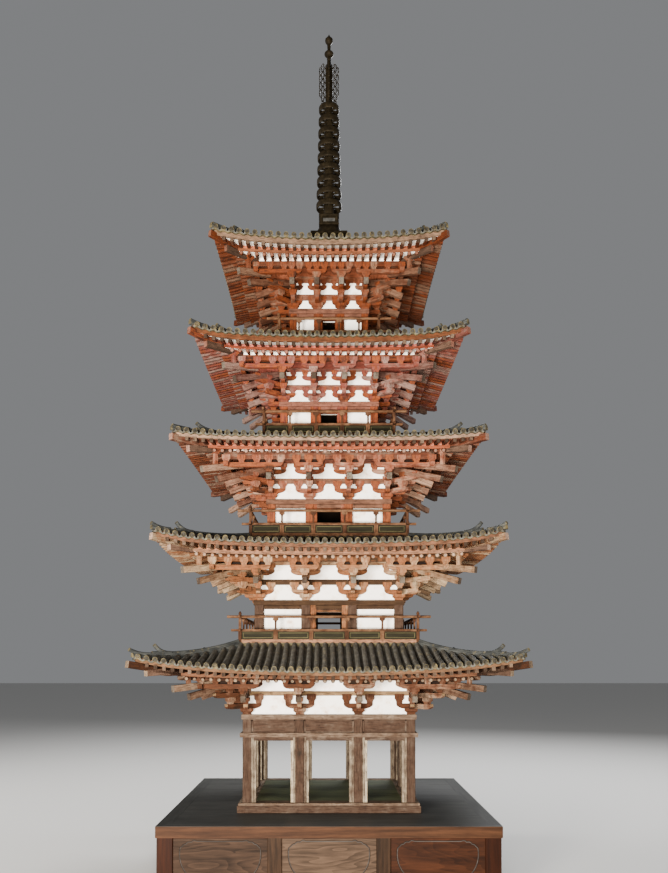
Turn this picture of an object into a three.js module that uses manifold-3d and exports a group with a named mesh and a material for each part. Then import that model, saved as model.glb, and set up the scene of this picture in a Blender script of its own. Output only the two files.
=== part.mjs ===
// A five-storey wooden pagoda about four metres tall, of the kind that stands inside a temple hall,
// on its panelled stand. Millimetres, +Z up, front towards -Y, origin under the middle of the stand.
import * as THREE from 'three';
import { mergeVertices } from 'three/addons/utils/BufferGeometryUtils.js';
import Module from 'manifold-3d';

const wasm = await Module();
wasm.setup();

// Stand
const STAND_HEIGHT = 330;
const STAND_HALF = 753;
const STAND_BOARD = 50;
const STAND_BOARD_LIP = 5;
const STAND_CORNER_POST = 70;
const STAND_MID_POST = 62;
const STAND_RAIL = 58;
const STAND_PANEL = 18;
const STAND_PANEL_SETBACK = 10;

// Pagoda, measured up from the top of the stand
const SILL = { half: 432, height: 34, upperHalf: 427, top: 46 };
const LINTEL_DROP = 17;
const JAMB = 23;
const JAMB_DEPTH = 30;
const TIE = { bottom: 354, top: 375, lip: 12 };
const PLATE = 24;
const PLATE_LIP = 6;
const WALL = 16;
const WALL_FACE = 2;
const FRIEZE_FACE = 12;
const FRIEZE_SETBACK = 4;
const FIT = 0.3;
// What runs a little into its neighbour, so that the two join.
const BITE = 1;

// One entry for each storey: half spacing of the corner and inner columns, column width, floor,
// top of the column plate, rise of the brackets to the purlin top, reach of the purlin and of the
// tail rafters beyond the columns, half widths of the eave and of its corner, height of the eave
// above the purlin top, lift of its corner, how evenly that lift is spread, and tip of the hip
// rafter.
const STOREYS = [
  { column: 388, inner: 138.5, post: 41, floor: 46, plate: 462, rise: 203, reach: 193, tail: 217,
    eave: 804, corner: 828, edge: -2, lift: 61, bow: 0.75, hip: 854 },
  { column: 335, inner: 112, post: 44, floor: 797, plate: 1006, rise: 205, reach: 200, tail: 230,
    eave: 740, corner: 762, edge: 15, lift: 53, bow: 0.5, hip: 771 },
  { column: 281, inner: 95, post: 40, floor: 1307, plate: 1502, rise: 190, reach: 198, tail: 225,
    eave: 672, corner: 689, edge: 18, lift: 20, bow: 0.5, hip: 700 },
  { column: 223, inner: 73, post: 38, floor: 1801, plate: 1996, rise: 178, reach: 190, tail: 205,
    eave: 603, corner: 620, edge: 10, lift: 45, bow: 0.45, hip: 632 },
  { column: 179, inner: 59.5, post: 34, floor: 2282, plate: 2477, rise: 176, reach: 172, tail: 190,
    eave: 522, corner: 537, edge: 17, lift: 39, bow: 0.8, hip: 550 },
];
// Tips of the two tail rafters on each storey's corner: reach beyond the column and height.
const CORNER_TAILS = [
  [[240, 93], [301, 132]],
  [[257, 71], [320, 117]],
  [[240, 58], [300, 95]],
  [[223, 58], [270, 113]],
  [[205, 62], [250, 105]],
];
// Ridge ends of each storey: the outer one's half width and height above the purlin top, then the
// inner one's.
const RIDGE_ENDS = [
  [[850, 109], [761, 129]],
  [[774, 113], [681, 128]],
  [[697, 76], [604, 110]],
  [[629, 90], [525, 108]],
  [[542, 94], [454, 122]],
];
const DOOR = { sill: 10, head: 57, topTie: 20, halves: [0, 62, 58, 40, 30] };
const BALCONY = { halves: [0, 420, 375, 316, 247], midTop: 68, railTop: 133, rail: 13, overrun: 62, strut: 12,
  bays: 5, thick: 13 };

// Eaves and roofs: sizes shared by every storey
// Shares of the way down a roof where its slope has points, how much the slope sags, and how fast
// the corner's lift grows along the roof and along the underside of the eave.
const ROOF_SHARES = [0, 0.4, 0.75, 1];
const ROOF_SAG = 0.3;
const ROOF_LIFT_POWER = 2.2;
const EAVE_LIFT_POWER = 1.4;
const BASE_RAFTER_REACH = 88;
const BASE_TIP_DROP = 47;
const KAYAOI = 15;
const FLYING_RAFTER = 18;
const CEILING = 30;
const TILE_EDGE = 16;
const TILE_LIP = 8;
const ROOF_LEDGE = 8;
const RIDGE = 24;
const RIDGE_WIDTH = 26;
const RIDGE_FOOT = 12;
const RIDGE_START = 0.01;
const HORN = { length: 40, depth: 20 };
const PURLIN = { half: 13, bottom: 187, sink: 6 };
const HIP = { width: 32, depth: 33, drop: 6, nose: 60, slope: 14, root: 15 };
const LOWER_HIP = { setback: 64, top: 43, bottom: 76 };

// Brackets: heights are drawn for a set of this rise. First the wall arm and the through beam,
// then the stepped arm with its tail rafter, then the arm under the purlin.
const BRACKET_RISE = 205;
const ARM = 26;
const ARM_PROUD = 13;
const ARM_HALF = 69;
const WALL_ARM = { foot: 23, top: 100, beam: 72 };
const STEP_ARM = { bottom: 20, first: 44, run: 14 };
const TAIL = { top: 106, slope: 0.42, depth: 30 };
const UPPER_TAIL_ROOT = { top: 186, bottom: 118 };
const UPPER_TAIL = 24;
const PURLIN_ARM = { foot: 22, bottom: 106, top: 187, half: 12 };
const CORNER_STEPS = [-1, -0.8, 0, 0.8];

// Finial, heights above the top of the stand
const FINIAL = { base: 2850, boxTop: 2924, boxHalf: 95, boxFoot: 78, boxRim: 16, bowlRadius: 72, bowlRise: 76,
  bowlTop: 2978, collarTop: 3033, collarHalf: 53, collarNeck: 42, collarRim: 13, mastLow: 29, mastHigh: 20,
  mastTip: 11, ringFirst: 3093, ringPitch: 64.2, ringCount: 9, ringRadiusLow: 67, ringRadiusHigh: 53,
  ringBand: 30, ringWall: 8, hubWall: 5, flameBottom: 3630, flameTop: 3868, flameReach: 54, ballHeight: 3904,
  ballRadius: 24, neckRadius: 13, jewelHeight: 3976, jewelRadius: 21, tip: 4010 };
const MAST_SIDES = 8;
const RING_SIDES = 16;
const HUB_FIT = 0.6;
const SPOKE = 7;
const FLAME_PLATE = 6;
// Edge of a flame plate in shares of its reach and height, and how high its collar and root go.
const FLAME_EDGE = [[0.8, 0], [1, 0.3], [0.96, 0.7], [0.75, 0.98]];
const FLAME_ROOT = [0.2, 0.85];
// Sides of the bowl, and of the ball and the jewel.
const BOWL_SIDES = 16;
const JEWEL_SIDES = 10;

const wood = new THREE.MeshStandardMaterial({ color: 0x8a4a38, roughness: 0.85, metalness: 0 });
const weathered = new THREE.MeshStandardMaterial({ color: 0x7a5a48, roughness: 0.9, metalness: 0 });
const plaster = new THREE.MeshStandardMaterial({ color: 0xe6e0d2, roughness: 0.95, metalness: 0 });
const tileWood = new THREE.MeshStandardMaterial({ color: 0x3c3d3b, roughness: 0.8, metalness: 0 });
const bronze = new THREE.MeshStandardMaterial({ color: 0x3a3b30, roughness: 0.6, metalness: 0.6 });
const standWood = new THREE.MeshStandardMaterial({ color: 0x6a4028, roughness: 0.7, metalness: 0 });

const model = new THREE.Group();

// Adds one named piece to the model.
function addPiece(name, geometry, material) {
  const mesh = new THREE.Mesh(geometry, material);
  mesh.name = name;
  model.add(mesh);
}

// Turns a closed three.js geometry into a solid that can be joined and cut.
function solidOf(geometry) {
  const bare = geometry.clone();
  bare.deleteAttribute('normal');
  bare.deleteAttribute('uv');
  const merged = mergeVertices(bare, 1e-3);
  return new wasm.Manifold(new wasm.Mesh({
    numProp: 3,
    vertProperties: new Float32Array(merged.attributes.position.array),
    triVerts: new Uint32Array(merged.index.array),
  }));
}

function geometryOf(solid) {
  const mesh = solid.getMesh();
  const geometry = new THREE.BufferGeometry();
  geometry.setAttribute('position', new THREE.BufferAttribute(new Float32Array(mesh.vertProperties), 3));
  geometry.setIndex(new THREE.BufferAttribute(new Uint32Array(mesh.triVerts), 1));
  geometry.computeVertexNormals();
  return geometry;
}

function join(geometries) {
  return geometries.map(solidOf).reduce((whole, piece) => whole.add(piece));
}

// A box between two corners.
function box(x0, x1, y0, y1, z0, z1) {
  const geometry = new THREE.BoxGeometry(x1 - x0, y1 - y0, z1 - z0);
  geometry.translate((x0 + x1) / 2, (y0 + y1) / 2, (z0 + z1) / 2);
  return geometry;
}

// A bar across the front face: its middle at x, from depth y0 to y1 in front of the axis.
function frontBar(x, width, near, far, z0, z1) {
  return box(x - width / 2, x + width / 2, -far, -near, z0, z1);
}

function shapeOf(points) {
  return new THREE.Shape(points.map(([a, b]) => new THREE.Vector2(a, b)));
}

// An outline in x and z, extruded from near to far in front of the axis.
function frontProfile(points, x, near, far) {
  const geometry = new THREE.ExtrudeGeometry(shapeOf(points), { depth: far - near, bevelEnabled: false });
  const basis = new THREE.Matrix4().makeBasis(
    new THREE.Vector3(1, 0, 0), new THREE.Vector3(0, 0, 1), new THREE.Vector3(0, -1, 0));
  geometry.applyMatrix4(basis);
  geometry.translate(x, -near, 0);
  return geometry;
}

// An outline in forward distance and z, extruded across x to a plate of the given width.
function sideProfile(points, x, width) {
  const geometry = new THREE.ExtrudeGeometry(shapeOf(points), { depth: width, bevelEnabled: false });
  const basis = new THREE.Matrix4().makeBasis(
    new THREE.Vector3(0, -1, 0), new THREE.Vector3(0, 0, 1), new THREE.Vector3(-1, 0, 0));
  geometry.applyMatrix4(basis);
  geometry.translate(x + width / 2, 0, 0);
  return geometry;
}

// Turns a geometry by quarter turns about the axis, with exact numbers.
function quarterTurn(geometry, turns) {
  const turned = geometry.clone();
  const position = turned.attributes.position;
  for (let i = 0; i < position.count; i += 1) {
    let x = position.getX(i);
    let y = position.getY(i);
    for (let k = 0; k < turns; k += 1) {
      [x, y] = [-y, x];
    }
    position.setXY(i, x, y);
  }
  return turned;
}

function onFourSides(geometries) {
  return [0, 1, 2, 3].flatMap((turns) => geometries.map((geometry) => quarterTurn(geometry, turns)));
}

// A front wall or rail with windows of [left, right, bottom, top] cut through it.
function cutWindows(geometry, windows) {
  const far = 2 * STAND_HALF;
  return windows.reduce((wall, [x0, x1, z0, z1]) => wall.subtract(solidOf(box(x0, x1, -far, 0, z0, z1))),
    solidOf(geometry));
}

// How far the eave rises towards its corner, from 0 in the middle to 1 at the corner: a shallow bow
// and a sharp rise near the corner.
function sweep(t, bow) {
  return bow * t ** 2 + (1 - bow) * t ** 8;
}

// A closed four-sided body from a profile of [half width, height, share of the corner's lift],
// drawn from the top outwards and down. It starts and ends on the axis, or on its first point.
// The steps say where a side has points, from -1 at one corner towards 1 at the next, and the
// corners rise by the lift and reach out by the flare, as an eave does.
function squareSweep(profile, steps = [-1], { lift = 0, flare = 0, bow = 0 } = {}) {
  const positions = [];
  const index = [];
  const count = 4 * steps.length;
  const closesOnItself = profile[0][0] > 0;
  const rows = [];
  profile.forEach(([half, height, share = 0], i) => {
    if (closesOnItself && i === profile.length - 1) {
      rows.push(rows[0]);
      return;
    }
    rows.push({ first: positions.length / 3, centre: half === 0 });
    if (half === 0) {
      positions.push(0, 0, height);
      return;
    }
    for (let side = 0; side < 4; side += 1) {
      for (const t of steps) {
        const rise = share * sweep(t, bow);
        const reach = half * (1 + flare * rise);
        let [x, y] = [reach * t, -reach];
        for (let k = 0; k < side; k += 1) {
          [x, y] = [-y, x];
        }
        positions.push(x, y, height + lift * rise);
      }
    }
  });
  for (let i = 0; i + 1 < rows.length; i += 1) {
    const [upper, lower] = [rows[i], rows[i + 1]];
    const spreads = profile[i][0] <= profile[i + 1][0];
    for (let j = 0; j < count; j += 1) {
      const next = (j + 1) % count;
      const pastMiddle = (j % steps.length) * 2 >= steps.length;
      const [a, b, c, d] = [upper.first + j, lower.first + j, lower.first + next, upper.first + next];
      if (upper.centre) {
        index.push(upper.first, b, c);
      } else if (lower.centre) {
        index.push(a, lower.first, d);
      } else if (spreads === pastMiddle) {
        index.push(a, b, c, a, c, d);
      } else {
        index.push(a, b, d, b, c, d);
      }
    }
  }
  const geometry = new THREE.BufferGeometry();
  geometry.setAttribute('position', new THREE.Float32BufferAttribute(positions, 3));
  geometry.setIndex(index);
  return geometry;
}

// A square ring about the axis.
function squareRing(outer, inner, z0, z1) {
  return squareSweep([[inner, z1], [outer, z1], [outer, z0], [inner, z0], [inner, z1]]);
}

// A sheet swept round the eaves of one storey.
function sweptEave(profile, storey) {
  const { lift, bow, corner, eave } = storey;
  return squareSweep(profile, CORNER_STEPS, { lift, bow, flare: corner / eave - 1 });
}

// Stand: board, frame of posts and rails, and the panels behind the frame.
function addStand() {
  const top = -STAND_BOARD;
  const frameHalf = STAND_HALF - STAND_BOARD_LIP;
  const panelFace = frameHalf - STAND_PANEL_SETBACK;
  addPiece('stand_top_board', box(-STAND_HALF, STAND_HALF, -STAND_HALF, STAND_HALF, top, 0), standWood);
  const bay = (2 * frameHalf - 2 * STAND_CORNER_POST - 2 * STAND_MID_POST) / 3;
  const midPost = bay / 2 + STAND_MID_POST / 2;
  const depth = STAND_PANEL_SETBACK + STAND_PANEL + FIT;
  const railTop = -STAND_HEIGHT + STAND_RAIL;
  const side = [
    frontBar(midPost, STAND_MID_POST, panelFace, frameHalf, -STAND_HEIGHT, top),
    frontBar(-midPost, STAND_MID_POST, panelFace, frameHalf, -STAND_HEIGHT, top),
    box(frameHalf - STAND_CORNER_POST, frameHalf, -frameHalf, -frameHalf + STAND_CORNER_POST,
      -STAND_HEIGHT, top),
  ];
  const rail = squareRing(frameHalf, frameHalf - depth, -STAND_HEIGHT, railTop);
  addPiece('stand_frame', geometryOf(join([rail, ...onFourSides(side)])), standWood);
  const reach = frameHalf - STAND_CORNER_POST - FIT;
  const names = ['stand_front_panels', 'stand_right_panels', 'stand_back_panels', 'stand_left_panels'];
  names.forEach((name, turns) => {
    const board = frontBar(0, 2 * reach, panelFace - STAND_PANEL, panelFace - FIT, railTop, top);
    addPiece(name, quarterTurn(board, turns), standWood);
  });
}

// First storey: sill with its floor, four rows of posts with their door frames, and the tie beams
// on top.
function addFirstStorey(storey) {
  const { column, inner, post } = storey;
  const outer = column + post / 2;
  const { half, upperHalf, height, top: sillTop } = SILL;
  addPiece('ground_sill', squareSweep([[0, sillTop], [upperHalf, sillTop], [upperHalf, height],
    [half, height], [half, 0], [0, 0]]), weathered);

  const [near, far] = [column - JAMB_DEPTH / 2, column + JAMB_DEPTH / 2];
  const upright = (x) => frontBar(x, post, column - post / 2, outer, sillTop, TIE.bottom);
  const row = [upright(-inner), upright(inner)];
  for (const [left, right] of [[-column, -inner], [-inner, inner], [inner, column]]) {
    const [a, b] = [left + post / 2, right - post / 2];
    row.push(box(a - BITE, a + JAMB, -far, -near, sillTop, TIE.bottom));
    row.push(box(b - JAMB, b + BITE, -far, -near, sillTop, TIE.bottom));
    row.push(box(a, b, -far, -near, TIE.bottom - LINTEL_DROP, TIE.bottom));
  }
  const trimmed = column - post / 2 - FIT;
  const betweenCorners = solidOf(box(-trimmed, trimmed, -half, half, 0, TIE.top));
  const names = ['front_posts', 'right_posts', 'back_posts', 'left_posts'];
  names.forEach((name, turns) => {
    const takesCorners = turns % 2 === 0;
    const posts = takesCorners
      ? geometryOf(join([...row, upright(-column), upright(column)]))
      : geometryOf(join(row).intersect(betweenCorners));
    addPiece(name, quarterTurn(posts, turns), weathered);
  });

  const plateBottom = storey.plate - PLATE;
  const inside = column - post / 2 - FRIEZE_SETBACK;
  addPiece('first_storey_tie_beams', squareSweep([
    [inside, storey.plate], [outer + PLATE_LIP, storey.plate], [outer + PLATE_LIP, plateBottom],
    [column + FRIEZE_FACE, plateBottom], [column + FRIEZE_FACE, TIE.top], [outer + TIE.lip, TIE.top],
    [outer + TIE.lip, TIE.bottom], [inside, TIE.bottom], [inside, storey.plate]]), weathered);
  const face = column + WALL_FACE;
  const infill = box(-face, face, -face, face, storey.plate, storey.plate + storey.rise);
  addPiece('storey1_infill', infill, plaster);
}

// Upper storey body: white walls that run up between the brackets, with a doorway on each side,
// and over them the posts, door frames and column plate.
function addUpperBody(storey, level) {
  const { column, inner, post, floor, plate, rise } = storey;
  const outer = column + post / 2;
  const face = column + WALL_FACE;
  const doorHalf = DOOR.halves[level];
  const sillTop = floor + DOOR.sill;
  const doorTop = plate - DOOR.head;
  const underPlate = plate - PLATE;
  const cut = box(-doorHalf, doorHalf, -outer, outer, sillTop, doorTop);
  const walls = solidOf(squareRing(face, face - WALL, floor, plate + rise))
    .subtract(solidOf(cut)).subtract(solidOf(quarterTurn(cut, 1)));
  addPiece(`storey${level + 1}_walls`, geometryOf(walls), plaster);

  const near = face + FIT;
  const headTop = underPlate - DOOR.topTie;
  const [bayStart, bayEnd] = [inner + post / 2, column - post / 2];
  const side = geometryOf(cutWindows(box(-outer, outer, -outer, -near, floor, underPlate + BITE), [
    [-doorHalf, doorHalf, sillTop, doorTop],
    [bayStart, bayEnd, sillTop, headTop],
    [-bayEnd, -bayStart, sillTop, headTop],
  ]));
  const plateRing = squareRing(outer + PLATE_LIP, near, underPlate, plate);
  const frame = join([plateRing, ...onFourSides([side])]);
  addPiece(`storey${level + 1}_posts`, geometryOf(frame), wood);
}

// Heights that the brackets of one storey share, and how far out each of the three steps is.
function bracketLevels(storey) {
  const scale = storey.rise / BRACKET_RISE;
  const up = (z) => storey.plate + z * scale;
  const third = storey.reach;
  const tailTop = (d) => up(TAIL.top + TAIL.slope * (third - d));
  return { up, third, tailTop, first: third / 3, second: (2 * third) / 3 };
}

// Side outline of one stepped bracket in distance from the column line, with a tail rafter over it
// that runs out and down to its tip.
function bracketOutline(storey, start, tip, tipTop, rootTop) {
  const { up, first, second } = bracketLevels(storey);
  const topAt = (d) => rootTop + ((tipTop - rootTop) * (d - start)) / (tip - start);
  const elbow = second + STEP_ARM.run;
  return [
    [start, up(STEP_ARM.bottom)], [first + STEP_ARM.run, up(STEP_ARM.first)],
    [elbow, topAt(elbow) - TAIL.depth], [tip, tipTop - TAIL.depth], [tip, tipTop], [start, rootTop],
  ];
}

// Brackets of one storey: on each column a wall arm, a stepped arm with its tail rafter and an arm
// under the purlin, along the wall the through beam that ties them together, and on each corner a
// stepped arm on the diagonal with two tail rafters.
function addBrackets(storey, level) {
  const { column, inner, tail } = storey;
  const { up, third, tailTop, second } = bracketLevels(storey);
  const near = column + WALL_FACE + FIT;
  const far = column + ARM_PROUD;
  const start = near - column;
  const armHalf = Math.min(ARM_HALF, inner - PURLIN_ARM.half);
  const fromAxis = (outline, stretch) => outline.map(([d, z]) => [(column + d) * stretch, z]);
  const outline = fromAxis(bracketOutline(storey, start, tail, tailTop(tail), tailTop(start)), 1);
  const { foot, top: wallTop, beam } = WALL_ARM;
  const wallArm = [[-foot, up(0)], [foot, up(0)], [armHalf, up(wallTop)], [-armHalf, up(wallTop)]];
  const { foot: purlinFoot, bottom, top, half } = PURLIN_ARM;
  const purlinArm = [[-purlinFoot, up(bottom)], [purlinFoot, up(bottom)],
    [armHalf, up(top)], [-armHalf, up(top)]];
  const step = column + third;
  const side = [-column, -inner, inner, column].flatMap((x) => [
    sideProfile(outline, x, ARM),
    frontProfile(wallArm, x, near, far),
    frontProfile(purlinArm, x, step - half, step + half),
  ]);

  const halfDepth = TAIL.depth / 2;
  const [[lowTip, lowHeight], [highTip, highHeight]] = CORNER_TAILS[level];
  const root = start + 2 * BITE;
  const diagonal = bracketOutline(storey, root, lowTip, up(lowHeight) + halfDepth, tailTop(root) - 2 * BITE);
  const upperTail = [[second, up(UPPER_TAIL_ROOT.bottom)], [highTip, up(highHeight) - halfDepth],
    [highTip, up(highHeight) + halfDepth], [second, up(UPPER_TAIL_ROOT.top)]];
  const corners = [[diagonal, ARM], [upperTail, UPPER_TAIL]].map(([points, width]) => {
    const arm = sideProfile(fromAxis(points, Math.SQRT2), 0, width);
    arm.rotateZ(Math.PI / 4);
    return arm;
  });
  const throughBeam = squareRing(far, near, up(beam), up(wallTop));
  const brackets = join([throughBeam, ...onFourSides([...side, ...corners])]);
  addPiece(`storey${level + 1}_brackets`, geometryOf(brackets), wood);
}

// Heights of one eave, shared by the rafters and the roof on top of them.
function eaveLevels(storey) {
  const top = storey.plate + storey.rise;
  const purlin = storey.column + storey.reach;
  const baseEnd = purlin + BASE_RAFTER_REACH;
  return { top, edge: top + storey.edge, purlin, ceilingTop: top + CEILING, baseEnd };
}

// Purlin and two layers of rafters as one stepped slab, with the hip rafters that stand out at the
// corners.
function addEaves(storey, level) {
  const { top, edge, purlin, ceilingTop, baseEnd } = eaveLevels(storey);
  const { up } = bracketLevels(storey);
  const baseShare = ((baseEnd - purlin) / (storey.eave - purlin)) ** EAVE_LIFT_POWER;
  const [inside, outside] = [purlin - PURLIN.half, purlin + PURLIN.half];
  const slab = sweptEave([
    [0, ceilingTop, 0],
    [outside, ceilingTop, 0],
    [storey.eave, edge, 1],
    [storey.eave, edge - KAYAOI - FLYING_RAFTER, 1],
    [baseEnd, edge - BASE_TIP_DROP, baseShare],
    [outside, top - PURLIN.sink, 0],
    [outside, up(PURLIN.bottom), 0],
    [inside, up(PURLIN.bottom), 0],
    [inside, top, 0],
    [0, top, 0],
  ], storey);
  const corner = edge + storey.lift;
  const tipTop = corner - HIP.drop;
  const tipBottom = tipTop - HIP.depth;
  const { hip: tip } = storey;
  const [start, lowTip, nose, end] = [purlin, tip - LOWER_HIP.setback, tip - HIP.nose, tip]
    .map((half) => half * Math.SQRT2);
  const hip = sideProfile([
    [start, top - HIP.root], [lowTip, corner - LOWER_HIP.bottom], [lowTip, corner - LOWER_HIP.top],
    [end, tipBottom], [end, tipTop], [nose, tipTop - HIP.slope], [start, top + HIP.root],
  ], 0, HIP.width);
  hip.rotateZ(Math.PI / 4);
  addPiece(`storey${level + 1}_eaves`, geometryOf(join([slab, ...onFourSides([hip])])), wood);
}

// The tiled roof over one storey, with a ridge on each hip that ends in two raised tips.
function addRoof(storey, level, innerHalf, innerTop) {
  const { top, edge, purlin, ceilingTop } = eaveLevels(storey);
  const outer = storey.eave + TILE_LIP;
  const flare = storey.corner / storey.eave - 1;
  const low = edge + TILE_EDGE;
  const halfAt = (share) => innerHalf + (outer - innerHalf) * share;
  const liftAt = (share) => share ** ROOF_LIFT_POWER;
  const heightAt = (share) => innerTop - (innerTop - low) * share * (1 + ROOF_SAG * (1 - share));
  const row = (share) => [halfAt(share), heightAt(share), liftAt(share)];
  const body = sweptEave([
    [0, innerTop, 0], ...ROOF_SHARES.map(row), [outer, edge + FIT, 1], [storey.eave, edge + FIT, 1],
    [purlin + PURLIN.half, ceilingTop + FIT, 0], [0, ceilingTop + FIT, 0],
  ], storey);
  const reachAt = (share) => halfAt(share) * (1 + flare * liftAt(share)) * Math.SQRT2;
  const topAt = (share) => heightAt(share) + storey.lift * liftAt(share);
  const shareAt = (half) => (half - innerHalf) / (outer - innerHalf);
  const [[outerTip, outerRise], [innerTip, innerRise]] = RIDGE_ENDS[level];
  const endShare = shareAt(innerTip);
  const hornShare = shareAt(innerTip - HORN.length);
  const tip = outerTip * Math.SQRT2;
  const [, upperBend, lowerBend] = ROOF_SHARES;
  const above = (share, rise) => [reachAt(share), topAt(share) + rise];
  const ridge = sideProfile([
    [reachAt(RIDGE_START), topAt(0) - RIDGE_FOOT], above(upperBend, -RIDGE_FOOT),
    above(lowerBend, -RIDGE_FOOT), [reachAt(1) - TILE_LIP, topAt(1) - TILE_LIP],
    [tip, top + outerRise - HORN.depth], [tip, top + outerRise], above(endShare, RIDGE / 2),
    [innerTip * Math.SQRT2, top + innerRise], above(hornShare, RIDGE), above(upperBend, RIDGE),
    [reachAt(RIDGE_START), topAt(0) + RIDGE],
  ], 0, RIDGE_WIDTH);
  ridge.rotateZ(Math.PI / 4);
  addPiece(`storey${level + 1}_roof`, geometryOf(join([body, ...onFourSides([ridge])])), tileWood);
}

// Balcony of an upper storey: on each side a panelled rail with open bays between its struts, and
// a top rail that runs on past the corners.
function addBalcony(storey, level) {
  const half = BALCONY.halves[level];
  const { floor } = storey;
  const { midTop, railTop, rail, overrun, strut, bays, thick } = BALCONY;
  const [low, high] = [floor + midTop, floor + railTop - rail];
  const reach = half + thick / 2;
  const end = half + overrun;
  const outline = [[-reach, floor], [reach, floor], [reach, high], [end, high],
    [end, high + rail], [-end, high + rail], [-end, high], [-reach, high]];
  const bay = (2 * half) / bays;
  const windows = [];
  for (let i = 0; i < bays; i += 1) {
    const x = -half + i * bay;
    windows.push([x + strut / 2, x + bay - strut / 2, low, high]);
  }
  const side = geometryOf(cutWindows(frontProfile(outline, 0, half - thick / 2, half + thick / 2), windows));
  const balcony = join(onFourSides([side]));
  addPiece(`storey${level + 1}_balcony`, geometryOf(balcony), wood);
}

function lathe(points, segments) {
  const geometry = new THREE.LatheGeometry(points.map(([r, z]) => new THREE.Vector2(r, z)), segments);
  geometry.rotateX(Math.PI / 2);
  return geometry;
}

// Points on a circle from one angle to another, both included.
function arcPoints(radius, from, to, steps) {
  const points = [];
  for (let i = 0; i <= steps; i += 1) {
    const angle = from + ((to - from) * i) / steps;
    points.push(new THREE.Vector2(radius * Math.cos(angle), radius * Math.sin(angle)));
  }
  return points;
}

// Radius of the mast between its foot on the collar and its top under the flame.
function mastAt(height) {
  const { collarTop, flameBottom, mastLow, mastHigh } = FINIAL;
  return mastLow + ((mastHigh - mastLow) * (height - collarTop)) / (flameBottom - collarTop);
}

// One of the nine rings: a band and four spokes round the mast.
function ringGeometry(radius, height) {
  const inner = radius - FINIAL.ringWall;
  const band = FINIAL.ringBand;
  const hole = mastAt(height - band / 2) + HUB_FIT;
  const hub = hole + FINIAL.hubWall;
  const prism = (points, depth) => {
    const geometry = new THREE.ExtrudeGeometry(new THREE.Shape(points), { depth, bevelEnabled: false });
    geometry.translate(0, 0, height - depth / 2);
    return solidOf(geometry);
  };
  const circle = (r, sides) => arcPoints(r, 0, 2 * Math.PI, sides).slice(1);
  let wheel = prism(circle(radius, RING_SIDES), band).subtract(prism(circle(hole, MAST_SIDES), 2 * band));
  for (let i = 0; i < 4; i += 1) {
    const middle = Math.PI / 4 + (i * Math.PI) / 2;
    const outerSwing = Math.PI / 4 - SPOKE / 2 / inner;
    const innerSwing = Math.PI / 4 - SPOKE / 2 / hub;
    const window = [
      ...arcPoints(inner, middle - outerSwing, middle + outerSwing, 3),
      ...arcPoints(hub, middle + innerSwing, middle - innerSwing, 1)];
    wheel = wheel.subtract(prism(window, 2 * band));
  }
  return geometryOf(wheel);
}

// Water-flame ornament: four upright plates round the top of the mast.
function flameGeometry() {
  const { mastHigh, hubWall, flameReach: reach, flameBottom: bottom, flameTop: top } = FINIAL;
  const up = (share) => bottom + (top - bottom) * share;
  const root = mastHigh + FIT;
  const edge = FLAME_EDGE.map(([width, share]) => [reach * width, up(share)]);
  const [, innerTop] = FLAME_ROOT;
  const blade = sideProfile([[root + BITE, up(0)], ...edge, [root + BITE, up(innerTop)]], 0, FLAME_PLATE);
  const [collarTop] = FLAME_ROOT;
  const collar = lathe([[root, up(collarTop)], [root, up(0)], [root + hubWall, up(0)],
    [root + hubWall, up(collarTop)], [root, up(collarTop)]], MAST_SIDES);
  return geometryOf(join([collar, ...onFourSides([blade])]));
}

// Finial: box, upturned bowl, square collar, mast, nine rings, water flame, ball and jewel.
function addFinial() {
  const f = FINIAL;
  const rimFoot = f.boxTop - f.boxRim;
  addPiece('finial_base_box', squareSweep([[0, f.boxTop], [f.boxHalf, f.boxTop], [f.boxHalf, rimFoot],
    [f.boxFoot, rimFoot], [f.boxFoot, f.base], [0, f.base]]), bronze);
  const shoulder = Math.asin((f.bowlTop - f.boxTop) / f.bowlRise);
  const bowl = arcPoints(1, 0, shoulder, 4).map(({ x, y }) => [f.bowlRadius * x, f.boxTop + f.bowlRise * y]);
  addPiece('finial_bowl', lathe([[0, f.boxTop], ...bowl, [0, f.bowlTop]], BOWL_SIDES), bronze);
  addPiece('finial_collar_box', squareSweep([
    [0, f.collarTop], [f.collarHalf, f.collarTop], [f.collarHalf, f.collarTop - f.collarRim],
    [f.collarNeck, f.collarTop - f.collarRim], [f.collarNeck, f.bowlTop + f.collarRim],
    [f.collarHalf, f.bowlTop + f.collarRim], [f.collarHalf, f.bowlTop], [0, f.bowlTop]]), bronze);
  addPiece('finial_mast', lathe([[0, f.collarTop], [f.mastLow, f.collarTop], [f.mastHigh, f.flameBottom],
    [f.mastTip, f.flameTop], [0, f.flameTop]], MAST_SIDES), bronze);
  for (let i = 0; i < f.ringCount; i += 1) {
    const radius = f.ringRadiusLow + ((f.ringRadiusHigh - f.ringRadiusLow) * i) / (f.ringCount - 1);
    addPiece(`finial_ring_${i + 1}`, ringGeometry(radius, f.ringFirst + i * f.ringPitch), bronze);
  }
  addPiece('finial_flame', flameGeometry(), bronze);
  const { ballRadius: ball, jewelRadius: jewel } = f;
  const neck = f.jewelHeight - jewel;
  addPiece('finial_ball', lathe([[0, f.flameTop], [f.mastTip, f.flameTop], [ball, f.ballHeight - ball / 3],
    [ball, f.ballHeight + ball / 3], [f.neckRadius, neck], [0, neck]], JEWEL_SIDES), bronze);
  addPiece('finial_jewel', lathe([[0, neck], [f.neckRadius, neck], [jewel, f.jewelHeight - jewel / 4],
    [jewel * 0.9, f.jewelHeight + jewel / 3], [jewel / 4, f.jewelHeight + jewel], [0, f.tip]],
  JEWEL_SIDES), bronze);
}

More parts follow.
